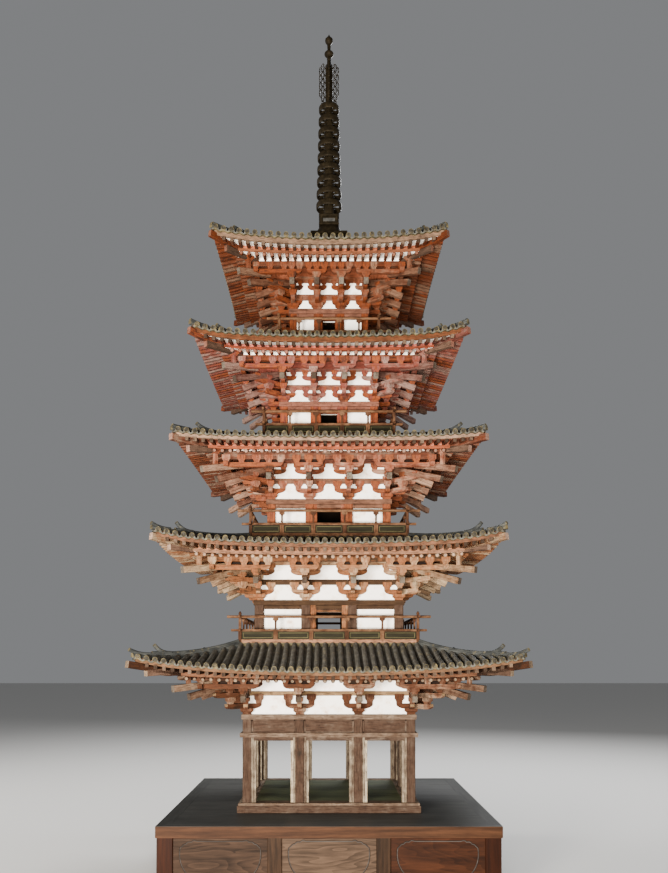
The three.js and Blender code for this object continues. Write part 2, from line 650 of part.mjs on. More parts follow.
addStand();
addFirstStorey(STOREYS[0]);
STOREYS.forEach((storey, level) => {
  const next = STOREYS[level + 1];
  if (level > 0) {
    addUpperBody(storey, level);
    addBalcony(storey, level);
  }
  addBrackets(storey, level);
  addEaves(storey, level);
  const innerHalf = next ? BALCONY.halves[level + 1] + ROOF_LEDGE : FINIAL.boxFoot + ROOF_LEDGE;
  addRoof(storey, level, innerHalf, next ? next.floor : FINIAL.base);
});
addFinial();

model.position.z = STAND_HEIGHT;

export default model;
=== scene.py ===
"""Looks of a five-storey wooden hall pagoda on its panelled stand.

Lengths are in millimetres, measured up from the top of the stand, and become metres when a mesh
is made. One side is built facing -Y, and quarter turns give the other three. A piece that sits on
a corner is built once, on the right, so that no two sides make it twice. A skin is the name of a
material, and a face without one has the first material of its mesh.
"""
import math
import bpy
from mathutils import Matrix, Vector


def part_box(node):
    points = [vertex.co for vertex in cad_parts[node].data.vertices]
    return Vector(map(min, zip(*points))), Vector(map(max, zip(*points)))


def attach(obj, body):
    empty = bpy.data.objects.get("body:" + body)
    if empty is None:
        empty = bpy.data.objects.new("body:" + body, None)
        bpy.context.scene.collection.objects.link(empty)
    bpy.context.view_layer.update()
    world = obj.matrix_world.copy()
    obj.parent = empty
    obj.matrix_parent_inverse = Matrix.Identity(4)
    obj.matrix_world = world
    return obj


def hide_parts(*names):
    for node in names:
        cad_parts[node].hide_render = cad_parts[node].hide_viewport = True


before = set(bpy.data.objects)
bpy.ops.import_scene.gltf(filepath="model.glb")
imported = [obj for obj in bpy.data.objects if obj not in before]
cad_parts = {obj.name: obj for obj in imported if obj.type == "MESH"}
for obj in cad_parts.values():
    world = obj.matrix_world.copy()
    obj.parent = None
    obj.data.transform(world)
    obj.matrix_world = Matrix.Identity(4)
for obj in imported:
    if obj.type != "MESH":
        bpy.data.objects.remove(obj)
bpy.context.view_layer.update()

from types import SimpleNamespace as Sizes

import bpy
import numpy as np

METRE = 0.001
STAND_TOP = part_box("stand_top_board")[1].z
WALL_FACE = 2.0
BRACKET_RISE = 205.0
DIAGONAL = math.sqrt(0.5)
SEED = 7
GRAIN_SPREAD = 5
SMOOTH, TILE_SMOOTH = 40, 50


def above_stand(z):
    """A height in the frame as millimetres above the stand."""
    return (z - STAND_TOP) / METRE


class Storey:
    """The sizes of one storey: those given, and those that its solids in the frame have."""

    def __init__(self, number, **given):
        vars(self).update(given)
        self.number = number
        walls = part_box("storey1_infill" if number == 1 else f"storey{number}_walls")
        base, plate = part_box("first_storey_tie_beams" if number == 1 else f"storey{number}_posts")
        self.column = walls[1].x / METRE - WALL_FACE
        self.outer = self.column + self.post / 2
        self.floor, self.plate, self.top = (above_stand(place.z) for place in (base, plate, walls[1]))
        self.scale = (self.top - self.plate) / BRACKET_RISE
        self.purlin = self.column + self.reach
        self.flare = self.corner / self.eave - 1
        self.edge = self.top + self.above

    def name(self, what):
        """Name of a piece, node or paint of this storey."""
        return f"storey{self.number}_{what}"

    def up(self, z):
        """Height above the stand of a height in the brackets' own scale."""
        return self.plate + z * self.scale

    def ups(self, levels):
        return [self.up(z) for z in levels]

    def sweep(self, t):
        """Rise of the eave from 0 in the middle of a side to 1 at its corner."""
        return self.bow * t ** 2 + (1 - self.bow) * t ** 8

    def share_at(self, half):
        """Part of the corner's lift that a line at this half width has."""
        return max(0.0, (half - self.purlin) / (self.eave - self.purlin)) ** 1.4

    def eave_point(self, t, half, z, share):
        """Point on the front eave at the part t of a half side, lifted by its share."""
        rise = share * self.sweep(t)
        reach = half * (1 + self.flare * rise)
        return np.array((reach * t, -reach, z + self.lift * rise))


# For each storey: half spacing of the inner columns (inner), column width (post), reach of the
# purlin and of the tail rafters beyond the columns (reach, tail), half widths of the eave in the
# middle and at the corner (eave, corner), tip and width of the hip rafter (hip, hip_width), height
# of the eave above the top of the walls (above), lift of its corner (lift) and how evenly it is
# spread (bow). Half lengths of the wall arm (arm) and of the arm under the purlin (lateral), with
# place and half width of the blocks on each (wall_block, row_block). Reach of each of the two tail
# rafters on the corner, with the height of its tip in the brackets' own scale (tails). Half width
# and rise above the walls of the outer and inner ridge tips (tips). In the brackets' own scale, the
# foot of the lower arm, foot and head of the through beam, foot of the upper arm and foot of the
# upper beam (levels). Rise of the purlin's top above the walls (purlin_rise), and how far below the
# eave the outer edge beam's foot and the lower one's foot and head are (edges). Half widths of the
# doorway and of the balcony of an upper storey (door, balcony).
STOREYS = [
    Storey(1, inner=138.5, post=41, reach=193, tail=217, eave=804, corner=828, hip=854, above=-2,
           lift=61, bow=0.75, arm=69, wall_block=(55, 22), lateral=70, row_block=(59, 20), hip_width=26,
           tails=((240, 93), (301, 132)), tips=((850, 109), (761, 129)),
           levels=(26, 88, 111, 124, 172), purlin_rise=0, edges=(10.5, 28, 14)),
    Storey(2, inner=112, post=44, reach=200, tail=230, eave=740, corner=762, hip=771, above=15,
           lift=53, bow=0.5, arm=69, wall_block=(55, 22), lateral=66, row_block=(55, 20), hip_width=26,
           tails=((257, 71), (320, 117)), tips=((774, 113), (681, 128)),
           levels=(26, 74, 101, 120, 169), purlin_rise=-3, edges=(13, 32, 18), door=62, balcony=420),
    Storey(3, inner=95, post=40, reach=198, tail=225, eave=672, corner=689, hip=700, above=18,
           lift=20, bow=0.5, arm=69, wall_block=(55, 22), lateral=66, row_block=(56, 20), hip_width=26,
           tails=((240, 58), (300, 95)), tips=((697, 76), (604, 110)),
           levels=(33, 83, 112, 134, 190), purlin_rise=2, edges=(12, 27, 14), door=58, balcony=375),
    Storey(4, inner=73, post=38, reach=190, tail=205, eave=603, corner=620, hip=632, above=10,
           lift=45, bow=0.45, arm=58, wall_block=(43, 17), lateral=55, row_block=(43.5, 19), hip_width=24,
           tails=((223, 58), (270, 113)), tips=((629, 90), (525, 108)),
           levels=(26, 71, 101, 125, 176), purlin_rise=-7, edges=(19, 22, 10), door=40, balcony=316),
    Storey(5, inner=59.5, post=34, reach=172, tail=190, eave=522, corner=537, hip=550, above=17,
           lift=39, bow=0.8, arm=45, wall_block=(31, 15), lateral=48, row_block=(38, 17), hip_width=20,
           tails=((205, 62), (250, 105)), tips=((542, 94), (454, 122)),
           levels=(26, 54, 90, 116, 158), purlin_rise=-9, edges=(19, 28, 14), door=30, balcony=247),
]
FINIAL_BASE = above_stand(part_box("finial_base_box")[0].z)
MATERIALS = {}


class Pieces:
    """Solids gathered for one mesh: the points of each, their places along and across its grain,
    its faces and the number of each face's material."""

    def __init__(self, *skins):
        self.skins = list(skins)
        self.solids = []

    def skin_number(self, skin):
        if skin and skin not in self.skins:
            self.skins.append(skin)
        return self.skins.index(skin) if skin else 0

    def add(self, points, faces, along=(1, 0, 0), skin=None):
        """Adds one solid; skin is the material of all its faces or a list with one for each."""
        points = np.asarray(points, float)
        along = np.asarray(along, float)
        along = along / np.linalg.norm(along)
        helper = np.array((0, 0, 1.0)) if abs(along[2]) < 0.9 else np.array((0, 1.0, 0))
        across = np.cross(helper, along)
        across /= np.linalg.norm(across)
        basis = np.stack([along, across, np.cross(along, across)])
        skins = skin if isinstance(skin, list) else [skin] * len(faces)
        numbers = [self.skin_number(name) for name in skins]
        self.solids.append((points, points @ basis.T, faces, numbers))


def on_four_sides(front):
    """The same pieces on all four sides."""
    whole = Pieces(*front.skins)
    for turn in range(4):
        for points, *others in front.solids:
            x, y, z = points.T
            for _ in range(turn):
                x, y = -y, x
            whole.solids.append((np.stack([x, y, z], 1), *others))
    return whole


def make_object(name, pieces, nodes, smooth=SMOOTH):
    """One Blender object from gathered pieces, riding on the body and standing for its nodes; edges
    sharper than the angle smooth stay crisp."""
    points, grain, faces, skins = zip(*pieces.solids)
    sizes = [len(rows) for rows in points]
    part = np.repeat(np.arange(len(sizes)), sizes)
    firsts = np.cumsum([0] + sizes).tolist()
    corners = [first + corner for first, own in zip(firsts, faces) for face in own for corner in face]
    starts = np.cumsum([0] + [len(face) for own in faces for face in own])[:-1]
    points = np.concatenate(points)
    mesh = bpy.data.meshes.new(name)
    world = points * METRE
    world[:, 2] += STAND_TOP
    mesh.vertices.add(len(points))
    mesh.vertices.foreach_set("co", world.astype(np.float32).ravel())
    mesh.loops.add(len(corners))
    mesh.loops.foreach_set("vertex_index", np.array(corners, np.int32))
    mesh.polygons.add(len(starts))
    mesh.polygons.foreach_set("loop_start", starts.astype(np.int32))
    mesh.polygons.foreach_set("material_index", np.concatenate(skins).astype(np.int32))
    for material in pieces.skins:
        mesh.materials.append(MATERIALS[material])
    random = np.random.default_rng(SEED + len(points))
    tint = random.random(len(sizes))[part]
    grain = np.concatenate(grain) * METRE + random.random((len(sizes), 3))[part] * GRAIN_SPREAD
    tints = mesh.attributes.new("tint", "FLOAT", "POINT")
    tints.data.foreach_set("value", tint.astype(np.float32))
    grains = mesh.attributes.new("grain", "FLOAT_VECTOR", "POINT")
    grains.data.foreach_set("vector", grain.astype(np.float32).ravel())
    mesh.update(calc_edges=True)
    mesh.validate()
    mesh.shade_smooth()
    mesh.set_sharp_from_angle(angle=math.radians(smooth))
    item = bpy.data.objects.new(name, mesh)
    bpy.context.scene.collection.objects.link(item)
    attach(item, "root")
    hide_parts(*nodes)


def make_sides(storey, what, front, node, smooth=SMOOTH):
    """One object of a storey, from the pieces on its front."""
    make_object(storey.name(what), on_four_sides(front), [storey.name(node)], smooth)


# Shapes

CHAMFER = 1.2
ROUND_END = (0.72, 2.2)
BLOCK_WAIST = 0.48
BLOCK_HOLLOW = (0.22, 0.6)
SQUARE = ((-1, -1), (1, -1), (1, 1), (-1, 1))
UPRIGHT = (0, 0, 1)
ALONG_X = (1, 0, 0)
ALONG_Y = (0, 1, 0)


def circle(sides):
    """Angles round a full turn."""
    return np.linspace(0, 2 * math.pi, sides + 1)[:-1]


def prism(pieces, ring_a, ring_b, along, skin=None, caps=None, sides=None):
    """A closed solid between two like rings of points; caps and sides are the materials of its
    ends and of its other faces."""
    n = len(ring_a)
    faces = [tuple(reversed(range(n))), tuple(range(n, 2 * n))]
    faces += [(i, (i + 1) % n, n + (i + 1) % n, n + i) for i in range(n)]
    skins = (caps or [skin] * 2) + (sides or [skin] * n)
    pieces.add(np.concatenate([ring_a, ring_b]), faces, along, skins)


def axis_frame(start, end, up=UPRIGHT):
    """Both ends as arrays, with the side and top directions of a bar between them."""
    a, b = np.asarray(start, float), np.asarray(end, float)
    axis = (b - a) / np.linalg.norm(b - a)
    side = np.cross(axis, np.asarray(up, float))
    side /= np.linalg.norm(side)
    return a, b, axis, side, np.cross(side, axis)


def bar(pieces, start, end, width, height, chamfer=CHAMFER, skin=None, up=UPRIGHT, tip=None):
    """A straight timber with small chamfers; tip is the material of its far end."""
    a, b, axis, side, top = axis_frame(start, end, up)
    w, h, c = width / 2, height / 2, min(chamfer, width / 4, height / 4)
    outline = [(w - c, -h), (w, -h + c), (w, h - c), (w - c, h), (-w + c, h), (-w, h - c), (-w, -h + c),
               (-w + c, -h)]
    ring = np.array([side * s + top * t for s, t in outline])
    prism(pieces, ring + b, ring + a, axis, skin, [tip or skin, skin])


def round_bar(pieces, start, end, radius_a, radius_b, sides=10, tip=None):
    """A round timber that changes its thickness evenly and is rounded at its far end."""
    a, b, axis, side, top = axis_frame(start, end)
    shrink, length = ROUND_END
    ring = np.array([side * math.cos(t) + top * math.sin(t) for t in circle(sides)])
    rows = [b + ring * radius_b * shrink, b - axis * length + ring * radius_b, a + ring * radius_a]
    sheet(pieces, rows, axis, closed=True, caps=[tip, None])


def upright(pieces, x, y, z0, z1, width, depth, chamfer=1.5, skin=None):
    """A post."""
    bar(pieces, (x, y, z0), (x, y, z1), width, depth, chamfer, skin, up=(0, -1, 0))


def beam_x(pieces, x0, x1, y_front, depth, z0, z1, chamfer=CHAMFER, skin=None):
    """A beam across the front, its outer face at y_front in front of the axis."""
    y = -(y_front - depth / 2)
    bar(pieces, (x0, y, (z0 + z1) / 2), (x1, y, (z0 + z1) / 2), depth, z1 - z0, chamfer, skin)


def lathe(pieces, profile, segments, centre=(0, 0)):
    """A body turned about the vertical through centre, from the top of its profile down."""
    points, rows = [], []
    for radius, z in profile:
        if radius == 0:
            rows.append([len(points)] * segments)
            points.append((*centre, z))
            continue
        rows.append(list(range(len(points), len(points) + segments)))
        points += [(centre[0] + radius * math.cos(a), centre[1] + radius * math.sin(a), z)
                   for a in circle(segments)]
    faces = []
    for upper, lower in zip(rows, rows[1:]):
        for i in range(segments):
            j = (i + 1) % segments
            faces.append(tuple(dict.fromkeys((upper[i], lower[i], lower[j], upper[j]))))
    pieces.add(points, [f for f in faces if len(f) > 2], UPRIGHT)


def sheet(pieces, rows, along=ALONG_X, skin=None, closed=False, caps=None):
    """A grid of points as faces, closed round each row if asked, with end caps then; skin is one
    material or a list with one for each step along a row."""
    grid = np.asarray(rows, float)
    n, m = grid.shape[:2]
    faces = []
    for i in range(n - 1):
        for j in range(m if closed else m - 1):
            k = (j + 1) % m
            faces.append((i * m + j, i * m + k, (i + 1) * m + k, (i + 1) * m + j))
    skins = skin * (n - 1) if isinstance(skin, list) else [skin] * len(faces)
    if closed:
        faces += [tuple(reversed(range(m))), tuple(range((n - 1) * m, n * m))]
        skins = skins + (caps or [skin, skin])
    pieces.add(grid.reshape(-1, 3), faces, along, skins)


def ring_beam(pieces, half, depth, z0, z1, chamfer=CHAMFER, skin=None):
    """One side of a square ring of timber, mitred at its corners."""
    c = min(chamfer, (z1 - z0) / 4)
    outline = [(half - c, z0), (half - depth, z0), (half - depth, z1), (half - c, z1), (half, z1 - c),
               (half, z0 + c)]
    rows = [[(side * h, -h, z) for h, z in outline] for side in (-1, 1)]
    sheet(pieces, rows, ALONG_X, skin, closed=True)


class Spot:
    """Place of a bracket set: s runs along the wall, d out from the column line, z is a height."""

    def __init__(self, x, y, side=(1, 0), out=(0, -1), stretch=1.0):
        self.origin = np.array((x, y, 0.0))
        self.side = np.array((*side, 0.0))
        self.out = np.array((*out, 0.0))
        self.stretch = stretch

    def at(self, s, d, z):
        return self.origin + self.side * s + self.out * (d * self.stretch) + np.array((0, 0, z))


def block(pieces, spot, s, d, half, levels, foot=0.62, deep=None):
    """A bearing block: hollowed in below, upright above."""
    z0, z1 = levels
    waist = z0 + (z1 - z0) * BLOCK_WAIST
    widening, height = BLOCK_HOLLOW
    deep = deep or half
    swell = foot + (1 - foot) * widening
    rings = []
    for share, z in ((foot, z0), (swell, z0 + (waist - z0) * height), (1, waist), (1, z1)):
        centre = spot.at(s, d, z)
        rings.append([centre + spot.side * a * half * share + spot.out * b * deep * share
                      for a, b in SQUARE])
    sheet(pieces, rings[::-1], UPRIGHT, closed=True)


def arm_outline(low, high, z0, z1, rise, curves):
    """Outline of a bracket arm from low to high; curves are the lengths over which its underside
    rises at each end, by rise."""
    steps = 6
    turn = [math.pi / 2 * k / steps for k in range(steps + 1)]
    left, right = ([(math.sin(a) * c, rise * (1 - math.cos(a))) for a in turn] if c else [(0, 0)]
                   for c in curves)
    left = [(low + curves[0] - dx, z0 + dz) for dx, dz in left]
    right = [(high - curves[1] + dx, z0 + dz) for dx, dz in right]
    return [(low, z1)] + left[::-1] + right + [(high, z1)]


def cross_arm(pieces, spot, ends, depths, levels, curves):
    """An arm parallel to the wall, between two depths."""
    rise = (levels[1] - levels[0]) * 0.85
    outline = arm_outline(*ends, *levels, rise, curves)
    rings = [np.array([spot.at(s, d, z) for s, z in outline]) for d in depths]
    prism(pieces, *rings, spot.side)


def out_arm(pieces, spot, width, reach, levels, tip):
    """An arm square to the wall, rounded below its outer end, whose face has the material tip."""
    rise = (levels[1] - levels[0]) * 0.5
    outline = arm_outline(0, reach, *levels, rise, (0, 16))
    rings = [np.array([spot.at(side * width / 2, d, z) for d, z in outline]) for side in (1, -1)]
    prism(pieces, *rings, spot.out, sides=[None] * (len(outline) - 2) + [tip, None])


# Eaves

RAFTER_PITCH = 36.1
RAFTER_ROOT = 24
SHORTEST_RAFTER = 12
HIP_CLEARANCE = 0.55
BASE_REACH = 88.0
BASE_RADII = (7.0, 9.2)
BASE_TIP = 8.5
FLYING = 17.0
PURLIN_HALF = 12
PURLIN_FOOT = 166
CEILING_GAP = 10
CEILING_LEVELS = (195, 199)
EDGE_DEPTH = 14
BOARD = 3
HIP = Sizes(chamfer=1.5, lower_height=29, lower_back=66, lower_drop=59, height=29.5, start_drop=17,
            drop=21)


def eave_sheet(pieces, storey, section, skin=None, steps=20):
    """A solid that follows the eave's curve from corner to corner; section has half, z, share."""
    rows = [[storey.eave_point(t, *place) for place in section] for t in np.linspace(-1, 1, steps + 1)]
    sheet(pieces, rows, ALONG_X, skin, closed=True)


def eave_strip(pieces, storey, half, depth, z0, z1, share, skin=None):
    """A beam along the eave's curve, mitred at both corners."""
    outline = ((half, z0), (half - depth, z0), (half - depth, z1), (half, z1))
    eave_sheet(pieces, storey, [(h, z, share) for h, z in outline], skin, 28)


def eave_boards(pieces, storey, line, skin, steps=20):
    """Thin boards along the eave's curve, on a line of places that each have half, z, share."""
    eave_sheet(pieces, storey, line + [(h, z + BOARD, share) for h, z, share in line[::-1]], skin, steps)


def rafter_places(limit):
    """Even places about the middle, half a pitch off it, out to the limit."""
    count = int((limit - RAFTER_PITCH / 2) // RAFTER_PITCH) + 1
    return [side * RAFTER_PITCH * (i + 0.5) for i in range(count) for side in (-1, 1)]


def add_eaves(storey):
    """Purlin, two layers of rafters with their boards and edge beams, and the hip rafters."""
    # Faces without a skin, the purlin, the rafters and the upper hip rafter, take the rafters' paint: the
    # timber's paint darkened as painted shade
    front = Pieces(storey.name("rafters"))
    lower, ends, beam, ceiling = (storey.name(use) for use in ("lower", "ends", "beam", "ceiling"))
    purlin, edge, eave, lift, flare = storey.purlin, storey.edge, storey.eave, storey.lift, storey.flare
    edge_beam, low_foot, low_head = storey.edges
    beside_hip = storey.hip_width * HIP_CLEARANCE
    base_end = purlin + BASE_REACH
    base_share = storey.share_at(base_end)
    purlin_top = storey.top + storey.purlin_rise
    seat = purlin_top + BASE_RADII[0]
    ring_beam(front, purlin + PURLIN_HALF, 2 * PURLIN_HALF, storey.up(PURLIN_FOOT), purlin_top, 1.5)
    # The ceiling under the eaves has paint paler than its neighbours', painted light so that its shaded
    # underside reads as lit
    ceiling_levels = storey.ups(CEILING_LEVELS)
    ring_beam(front, purlin - CEILING_GAP, storey.reach - CEILING_GAP, *ceiling_levels, 0, ceiling)

    def base_flat(half):
        """Height of a base rafter's axis before the corner lifts it."""
        part = (half - purlin) / BASE_REACH
        return seat + (edge - low_foot - BASE_TIP - seat) * part

    def base_z(half, x):
        return base_flat(half) + lift * storey.share_at(half) * storey.sweep(min(1.0, abs(x) / half))

    for x in rafter_places(base_end - EDGE_DEPTH):
        start = max(purlin - RAFTER_ROOT, abs(x) + beside_hip)
        end = base_end * (1 + flare * base_share * storey.sweep(abs(x) / base_end)) + 4
        if end - start > SHORTEST_RAFTER:
            near, far = ((x, -half, base_z(half, x)) for half in (start, end))
            round_bar(front, near, far, *BASE_RADII, tip=ends)
    eave_strip(front, storey, base_end, EDGE_DEPTH, edge - low_foot, edge - low_head, base_share, lower)
    ring_beam(front, purlin + 9, BOARD, purlin_top - 1, base_flat(purlin + 9) + 10, 0, "chalk_white")
    line = [(half, base_flat(half) + BASE_RADII[1] - 1.5, storey.share_at(half))
            for half in np.linspace(base_end - 4, purlin + 7, 4)]
    eave_boards(front, storey, line, "chalk_white")

    tip = eave - 1

    def flying_z(half, x):
        """Height of a flying rafter's axis."""
        part = (half - base_end) / (tip - base_end)
        share = base_share + (1 - base_share) * max(0.0, part)
        axis = edge - low_head + FLYING / 2 - (edge_beam + FLYING - low_head) * part
        return axis + lift * share * storey.sweep(min(1.0, abs(x) / half))

    for x in rafter_places(tip - 10):
        end = tip * (1 + flare * storey.sweep(abs(x) / tip))
        start = max(base_end - 12, abs(x) + beside_hip)
        if end - start > SHORTEST_RAFTER:
            near, far = (x, -start, flying_z(start, x)), (x, -end, flying_z(tip, x))
            bar(front, near, far, FLYING - 2, FLYING, 1.0, tip="flying_ends")
    # The board above the lower edge beam, and on the three lowest storeys the boards between the flying
    # rafters, take the ceiling's lightened paint
    eave_strip(front, storey, base_end - 6, BOARD, edge - low_head - 1, edge + 3, base_share, ceiling)
    eave_boards(front, storey, [(eave - 12, edge - edge_beam, 1), (base_end - 7, edge + 2, base_share)],
                "chalk_white" if storey.number > 3 else ceiling, 28)
    eave_strip(front, storey, eave - 3, EDGE_DEPTH, edge - edge_beam, edge + 9, 1, beam)

    # Hip rafter in two lengths, on the corner to the right
    root = purlin - RAFTER_ROOT
    lower_start, lower_end = base_flat(root) - 3, edge + lift - HIP.lower_drop
    start, end = edge - HIP.start_drop + lift * base_share, edge + lift - HIP.drop
    for a, b, z_a, z_b, height, skin in (
        (root, storey.hip - HIP.lower_back, lower_start, lower_end, HIP.lower_height, "dark_timber"),
        (base_end - 10, storey.hip, start, end, HIP.height, None),
    ):
        bar(front, (a, -a, z_a), (b, -b, z_b), storey.hip_width, height, HIP.chamfer, skin, tip=ends)
    make_sides(storey, "rafters", front, "eaves")


# Brackets: pairs of levels are foot and head in the brackets' own scale

COLUMN_BLOCK = (0, 32)
BEAM_BLOCK = (100, 122)
FIRST_ARM = (28, 52)
FIRST_BLOCK = (52, 84)
SECOND_ARM = (82, 105)
INNER_BLOCK = (104, 128)
OUTER_BLOCK = (104, 120)
TAIL_BLOCK = (104, 133)
PURLIN_ARM = (128, 150)
ROW_BLOCK = (149, 187)
ROW_BOARD = (149, 167)
UPPER_BEAM_TOP = 197
WALL_BLOCK_TOP = 194
LOWER_ARM_RISE, UPPER_ARM_RISE = 26, 25
TAIL_CROSSING = 152
TAIL_TOP = 106.0
TAIL_SLOPE = 0.42
TAIL_ROOT = 4
TAIL_SIZE = (23.0, 30.0)
CORNER_TAILS = ((24, 29), (22, 29))
STEP_BLOCK = 17.5
SMALL_ARM = 20.0
ARM_FOOT = 24
WALL_ARM = Sizes(depths=(-4, 12), stub=6, longer=4, block_depth=14, under_beam=14, block_reach=58,
                 farther=3, narrower=2)
PURLIN_ARM_HALF = 11
BEAM = Sizes(face=8, depth=14)
PROP = Sizes(place=0.45, width=18, block=20, block_height=26)


def tail_axis(storey, d):
    """Height of a tail rafter's axis at a distance from the column line."""
    return storey.up(TAIL_TOP + TAIL_SLOPE * (storey.reach - d)) - TAIL_SIZE[1] / 2


def out_steps(pieces, spot, storey, width=SMALL_ARM, tips=None):
    """Stepped arms of one set with their blocks and its tail rafter, or two that end at tips."""
    first, second = storey.reach / 3, storey.reach * 2 / 3
    pale = storey.name("plate")
    out_arm(pieces, spot, width, first + 26, storey.ups(FIRST_ARM), pale)
    block(pieces, spot, 0, first + 8, STEP_BLOCK, storey.ups(FIRST_BLOCK))
    out_arm(pieces, spot, width, second + 10, storey.ups(SECOND_ARM), pale)
    block(pieces, spot, 0, first + 12, STEP_BLOCK - 1.5, storey.ups(INNER_BLOCK))
    block(pieces, spot, 0, second + 2, STEP_BLOCK - 1.5, storey.ups(OUTER_BLOCK))
    root = tail_axis(storey, TAIL_ROOT)
    if tips is None:
        rafters = [((TAIL_ROOT, root), (storey.tail, tail_axis(storey, storey.tail)), TAIL_SIZE)]
    else:
        (low, low_z), (high, high_z) = tips
        rafters = [((TAIL_ROOT, root - 4), (low, storey.up(low_z)), CORNER_TAILS[0]),
                   ((second, storey.up(TAIL_CROSSING)), (high, storey.up(high_z)), CORNER_TAILS[1])]
    for start, end, size in rafters:
        bar(pieces, spot.at(0, *start), spot.at(0, *end), *size, 1.5, storey.name("tails"),
            tip="grey_end")


def wall_arms(pieces, spot, storey, sides):
    """Arms in the wall's plane in two tiers, on the asked sides of the column."""
    place, half = storey.wall_block
    lower, _, beam_top, upper, _ = storey.levels
    for z, rise, reach in ((lower, LOWER_ARM_RISE, storey.arm),
                           (upper, UPPER_ARM_RISE, storey.arm + WALL_ARM.longer)):
        ends = [side * (reach if side in sides else WALL_ARM.stub) for side in (-1, 1)]
        curves = [reach - ARM_FOOT if side in sides else 0 for side in (-1, 1)]
        cross_arm(pieces, spot, ends, WALL_ARM.depths, storey.ups((z, z + rise)), curves)
    lower_block = storey.ups((lower + LOWER_ARM_RISE, beam_top - WALL_ARM.under_beam))
    upper_block = storey.ups((upper + UPPER_ARM_RISE, min(upper + WALL_ARM.block_reach, WALL_BLOCK_TOP)))
    for side in sides:
        block(pieces, spot, side * place, 0, half, lower_block, deep=WALL_ARM.block_depth)
        block(pieces, spot, side * (place + WALL_ARM.farther), 0, half - WALL_ARM.narrower, upper_block,
              deep=WALL_ARM.block_depth)


def purlin_arm(pieces, spot, storey, ends, curves, places):
    """The arm under the purlin with its row of blocks, and behind them a near-black board that is painted
    shade.
    """
    reach = storey.reach
    depths = (reach - PURLIN_ARM_HALF, reach + PURLIN_ARM_HALF)
    cross_arm(pieces, spot, ends, depths, storey.ups(PURLIN_ARM), curves)
    low, high = storey.ups(ROW_BOARD)
    middle = storey.up(sum(ROW_BOARD) / 2)
    left, right = (spot.at(s, reach - 13, middle) for s in (places[0], places[-1]))
    # Near-black board behind the blocks: painted shade in the gaps between them
    bar(pieces, left, right, 2, high - low, 0, "painted_shade_black")
    for s in places:
        block(pieces, spot, s, reach, storey.row_block[1], storey.ups(ROW_BLOCK), 0.57, 15.5)


def add_brackets(storey):
    """Bracket sets on the columns and on the corner's diagonal, with the beams along the wall."""
    front = Pieces(storey.name("timber"))
    column, reach, lateral = storey.column, storey.reach, storey.lateral
    spread, row_half = storey.row_block
    curve = lateral * 0.42

    def carried_arms(spot):
        """The steps of a set on a column, and the block on its tail rafter."""
        out_steps(front, spot, storey)
        block(front, spot, 0, reach, 21, storey.ups(TAIL_BLOCK), 0.6, 17)

    for x in (-storey.inner, storey.inner):
        spot = Spot(x, -column)
        block(front, spot, 0, 0, 30, storey.ups(COLUMN_BLOCK))
        block(front, spot, 0, 0, 20, storey.ups(BEAM_BLOCK), 0.8, 15)
        wall_arms(front, spot, storey, (-1, 1))
        carried_arms(spot)
        purlin_arm(front, spot, storey, (-lateral, lateral), (curve, curve), (-spread, 0, spread))
    for side in (-1, 1):
        spot = Spot(side * column, -column)
        wall_arms(front, spot, storey, (-side,))
        carried_arms(spot)
        ends = sorted((-side * lateral, side * (reach + 38)))
        places = [side * s for s in (-spread, 0, spread, (spread + reach) / 2)]
        purlin_arm(front, spot, storey, ends, (curve, 16)[::side], places)
    corner = Spot(column, -column)
    block(front, corner, 0, 0, 30, storey.ups(COLUMN_BLOCK))
    block(front, corner, 0, 0, 20, storey.ups(BEAM_BLOCK), 0.8)
    block(front, corner, reach, reach, row_half, storey.ups(ROW_BLOCK), 0.57)
    outward = (DIAGONAL, -DIAGONAL)
    diagonal = Spot(column, -column, (DIAGONAL, DIAGONAL), outward, math.sqrt(2))
    out_steps(front, diagonal, storey, SMALL_ARM + 2, storey.tails)
    # A prop with its block stands on the upper of the corner's tail rafters
    high, high_z = storey.tails[1]
    prop = reach + (high - reach) * PROP.place
    prop_top = storey.top + 6
    climb = (high - prop) / (high - reach * 2 / 3)
    prop_foot = storey.up(high_z + (TAIL_CROSSING - high_z) * climb) + 8
    foot, head = (diagonal.at(0, prop, z) for z in (prop_foot, prop_top - 24))
    bar(front, foot, head, PROP.width, PROP.width, 1.5, up=(*outward, 0))
    block(front, diagonal, 0, prop, PROP.block, (prop_top - PROP.block_height, prop_top), 0.6)
    _, beam_low, beam_top, _, upper_beam = storey.levels
    face = column + BEAM.face
    ring_beam(front, face, BEAM.depth, *storey.ups((beam_low, beam_top)), skin=storey.name("plate"))
    ring_beam(front, face, BEAM.depth, *storey.ups((upper_beam, UPPER_BEAM_TOP)))
    make_sides(storey, "bracket_sets", front, "brackets")


# Roofs

TILE_EDGE = 17.5
TILE_LIP = 8.0
TILE_STEPS = 9
TILE_HALF = [(18.05, -11), (16, -10.4), (14, -8.4), (12.4, -4.6), (11.6, 1), (9.8, 6), (5.6, 9.7)]
TILE_SECTION = [(-x, z) for x, z in TILE_HALF] + [(0, 11)] + TILE_HALF[::-1]
RIM = Sizes(low=-15.0, wave=3.2, line=2.4, back=12.0)
DISC = Sizes(radius=11.4, face=8.4, bevel=0.8, front=4, recess=2.6, back=3, sides=12)
RIDGE_HALF = [(12.5, -14), (12.5, 5), (10, 6), (10, 14), (7.5, 15), (6.5, 19.5), (3.8, 22.6)]
RIDGE_LEFT = [(-x, z) for x, z in RIDGE_HALF]
RIDGE_SECTION = RIDGE_LEFT[:1] + RIDGE_HALF + [(0, 23.8)] + RIDGE_LEFT[:0:-1]
RIDGE = Sizes(tip_back=10, overlap=0.05, upper_points=9, lower_points=6, lower_scale=(0.6, 0.85))
HORN = Sizes(start=70, steps=8, bend=2.6, back=3, drop=8, sides=10, heights=(15, 7), wide=10, tall=11,
             narrower=1.5, lower=2.5)


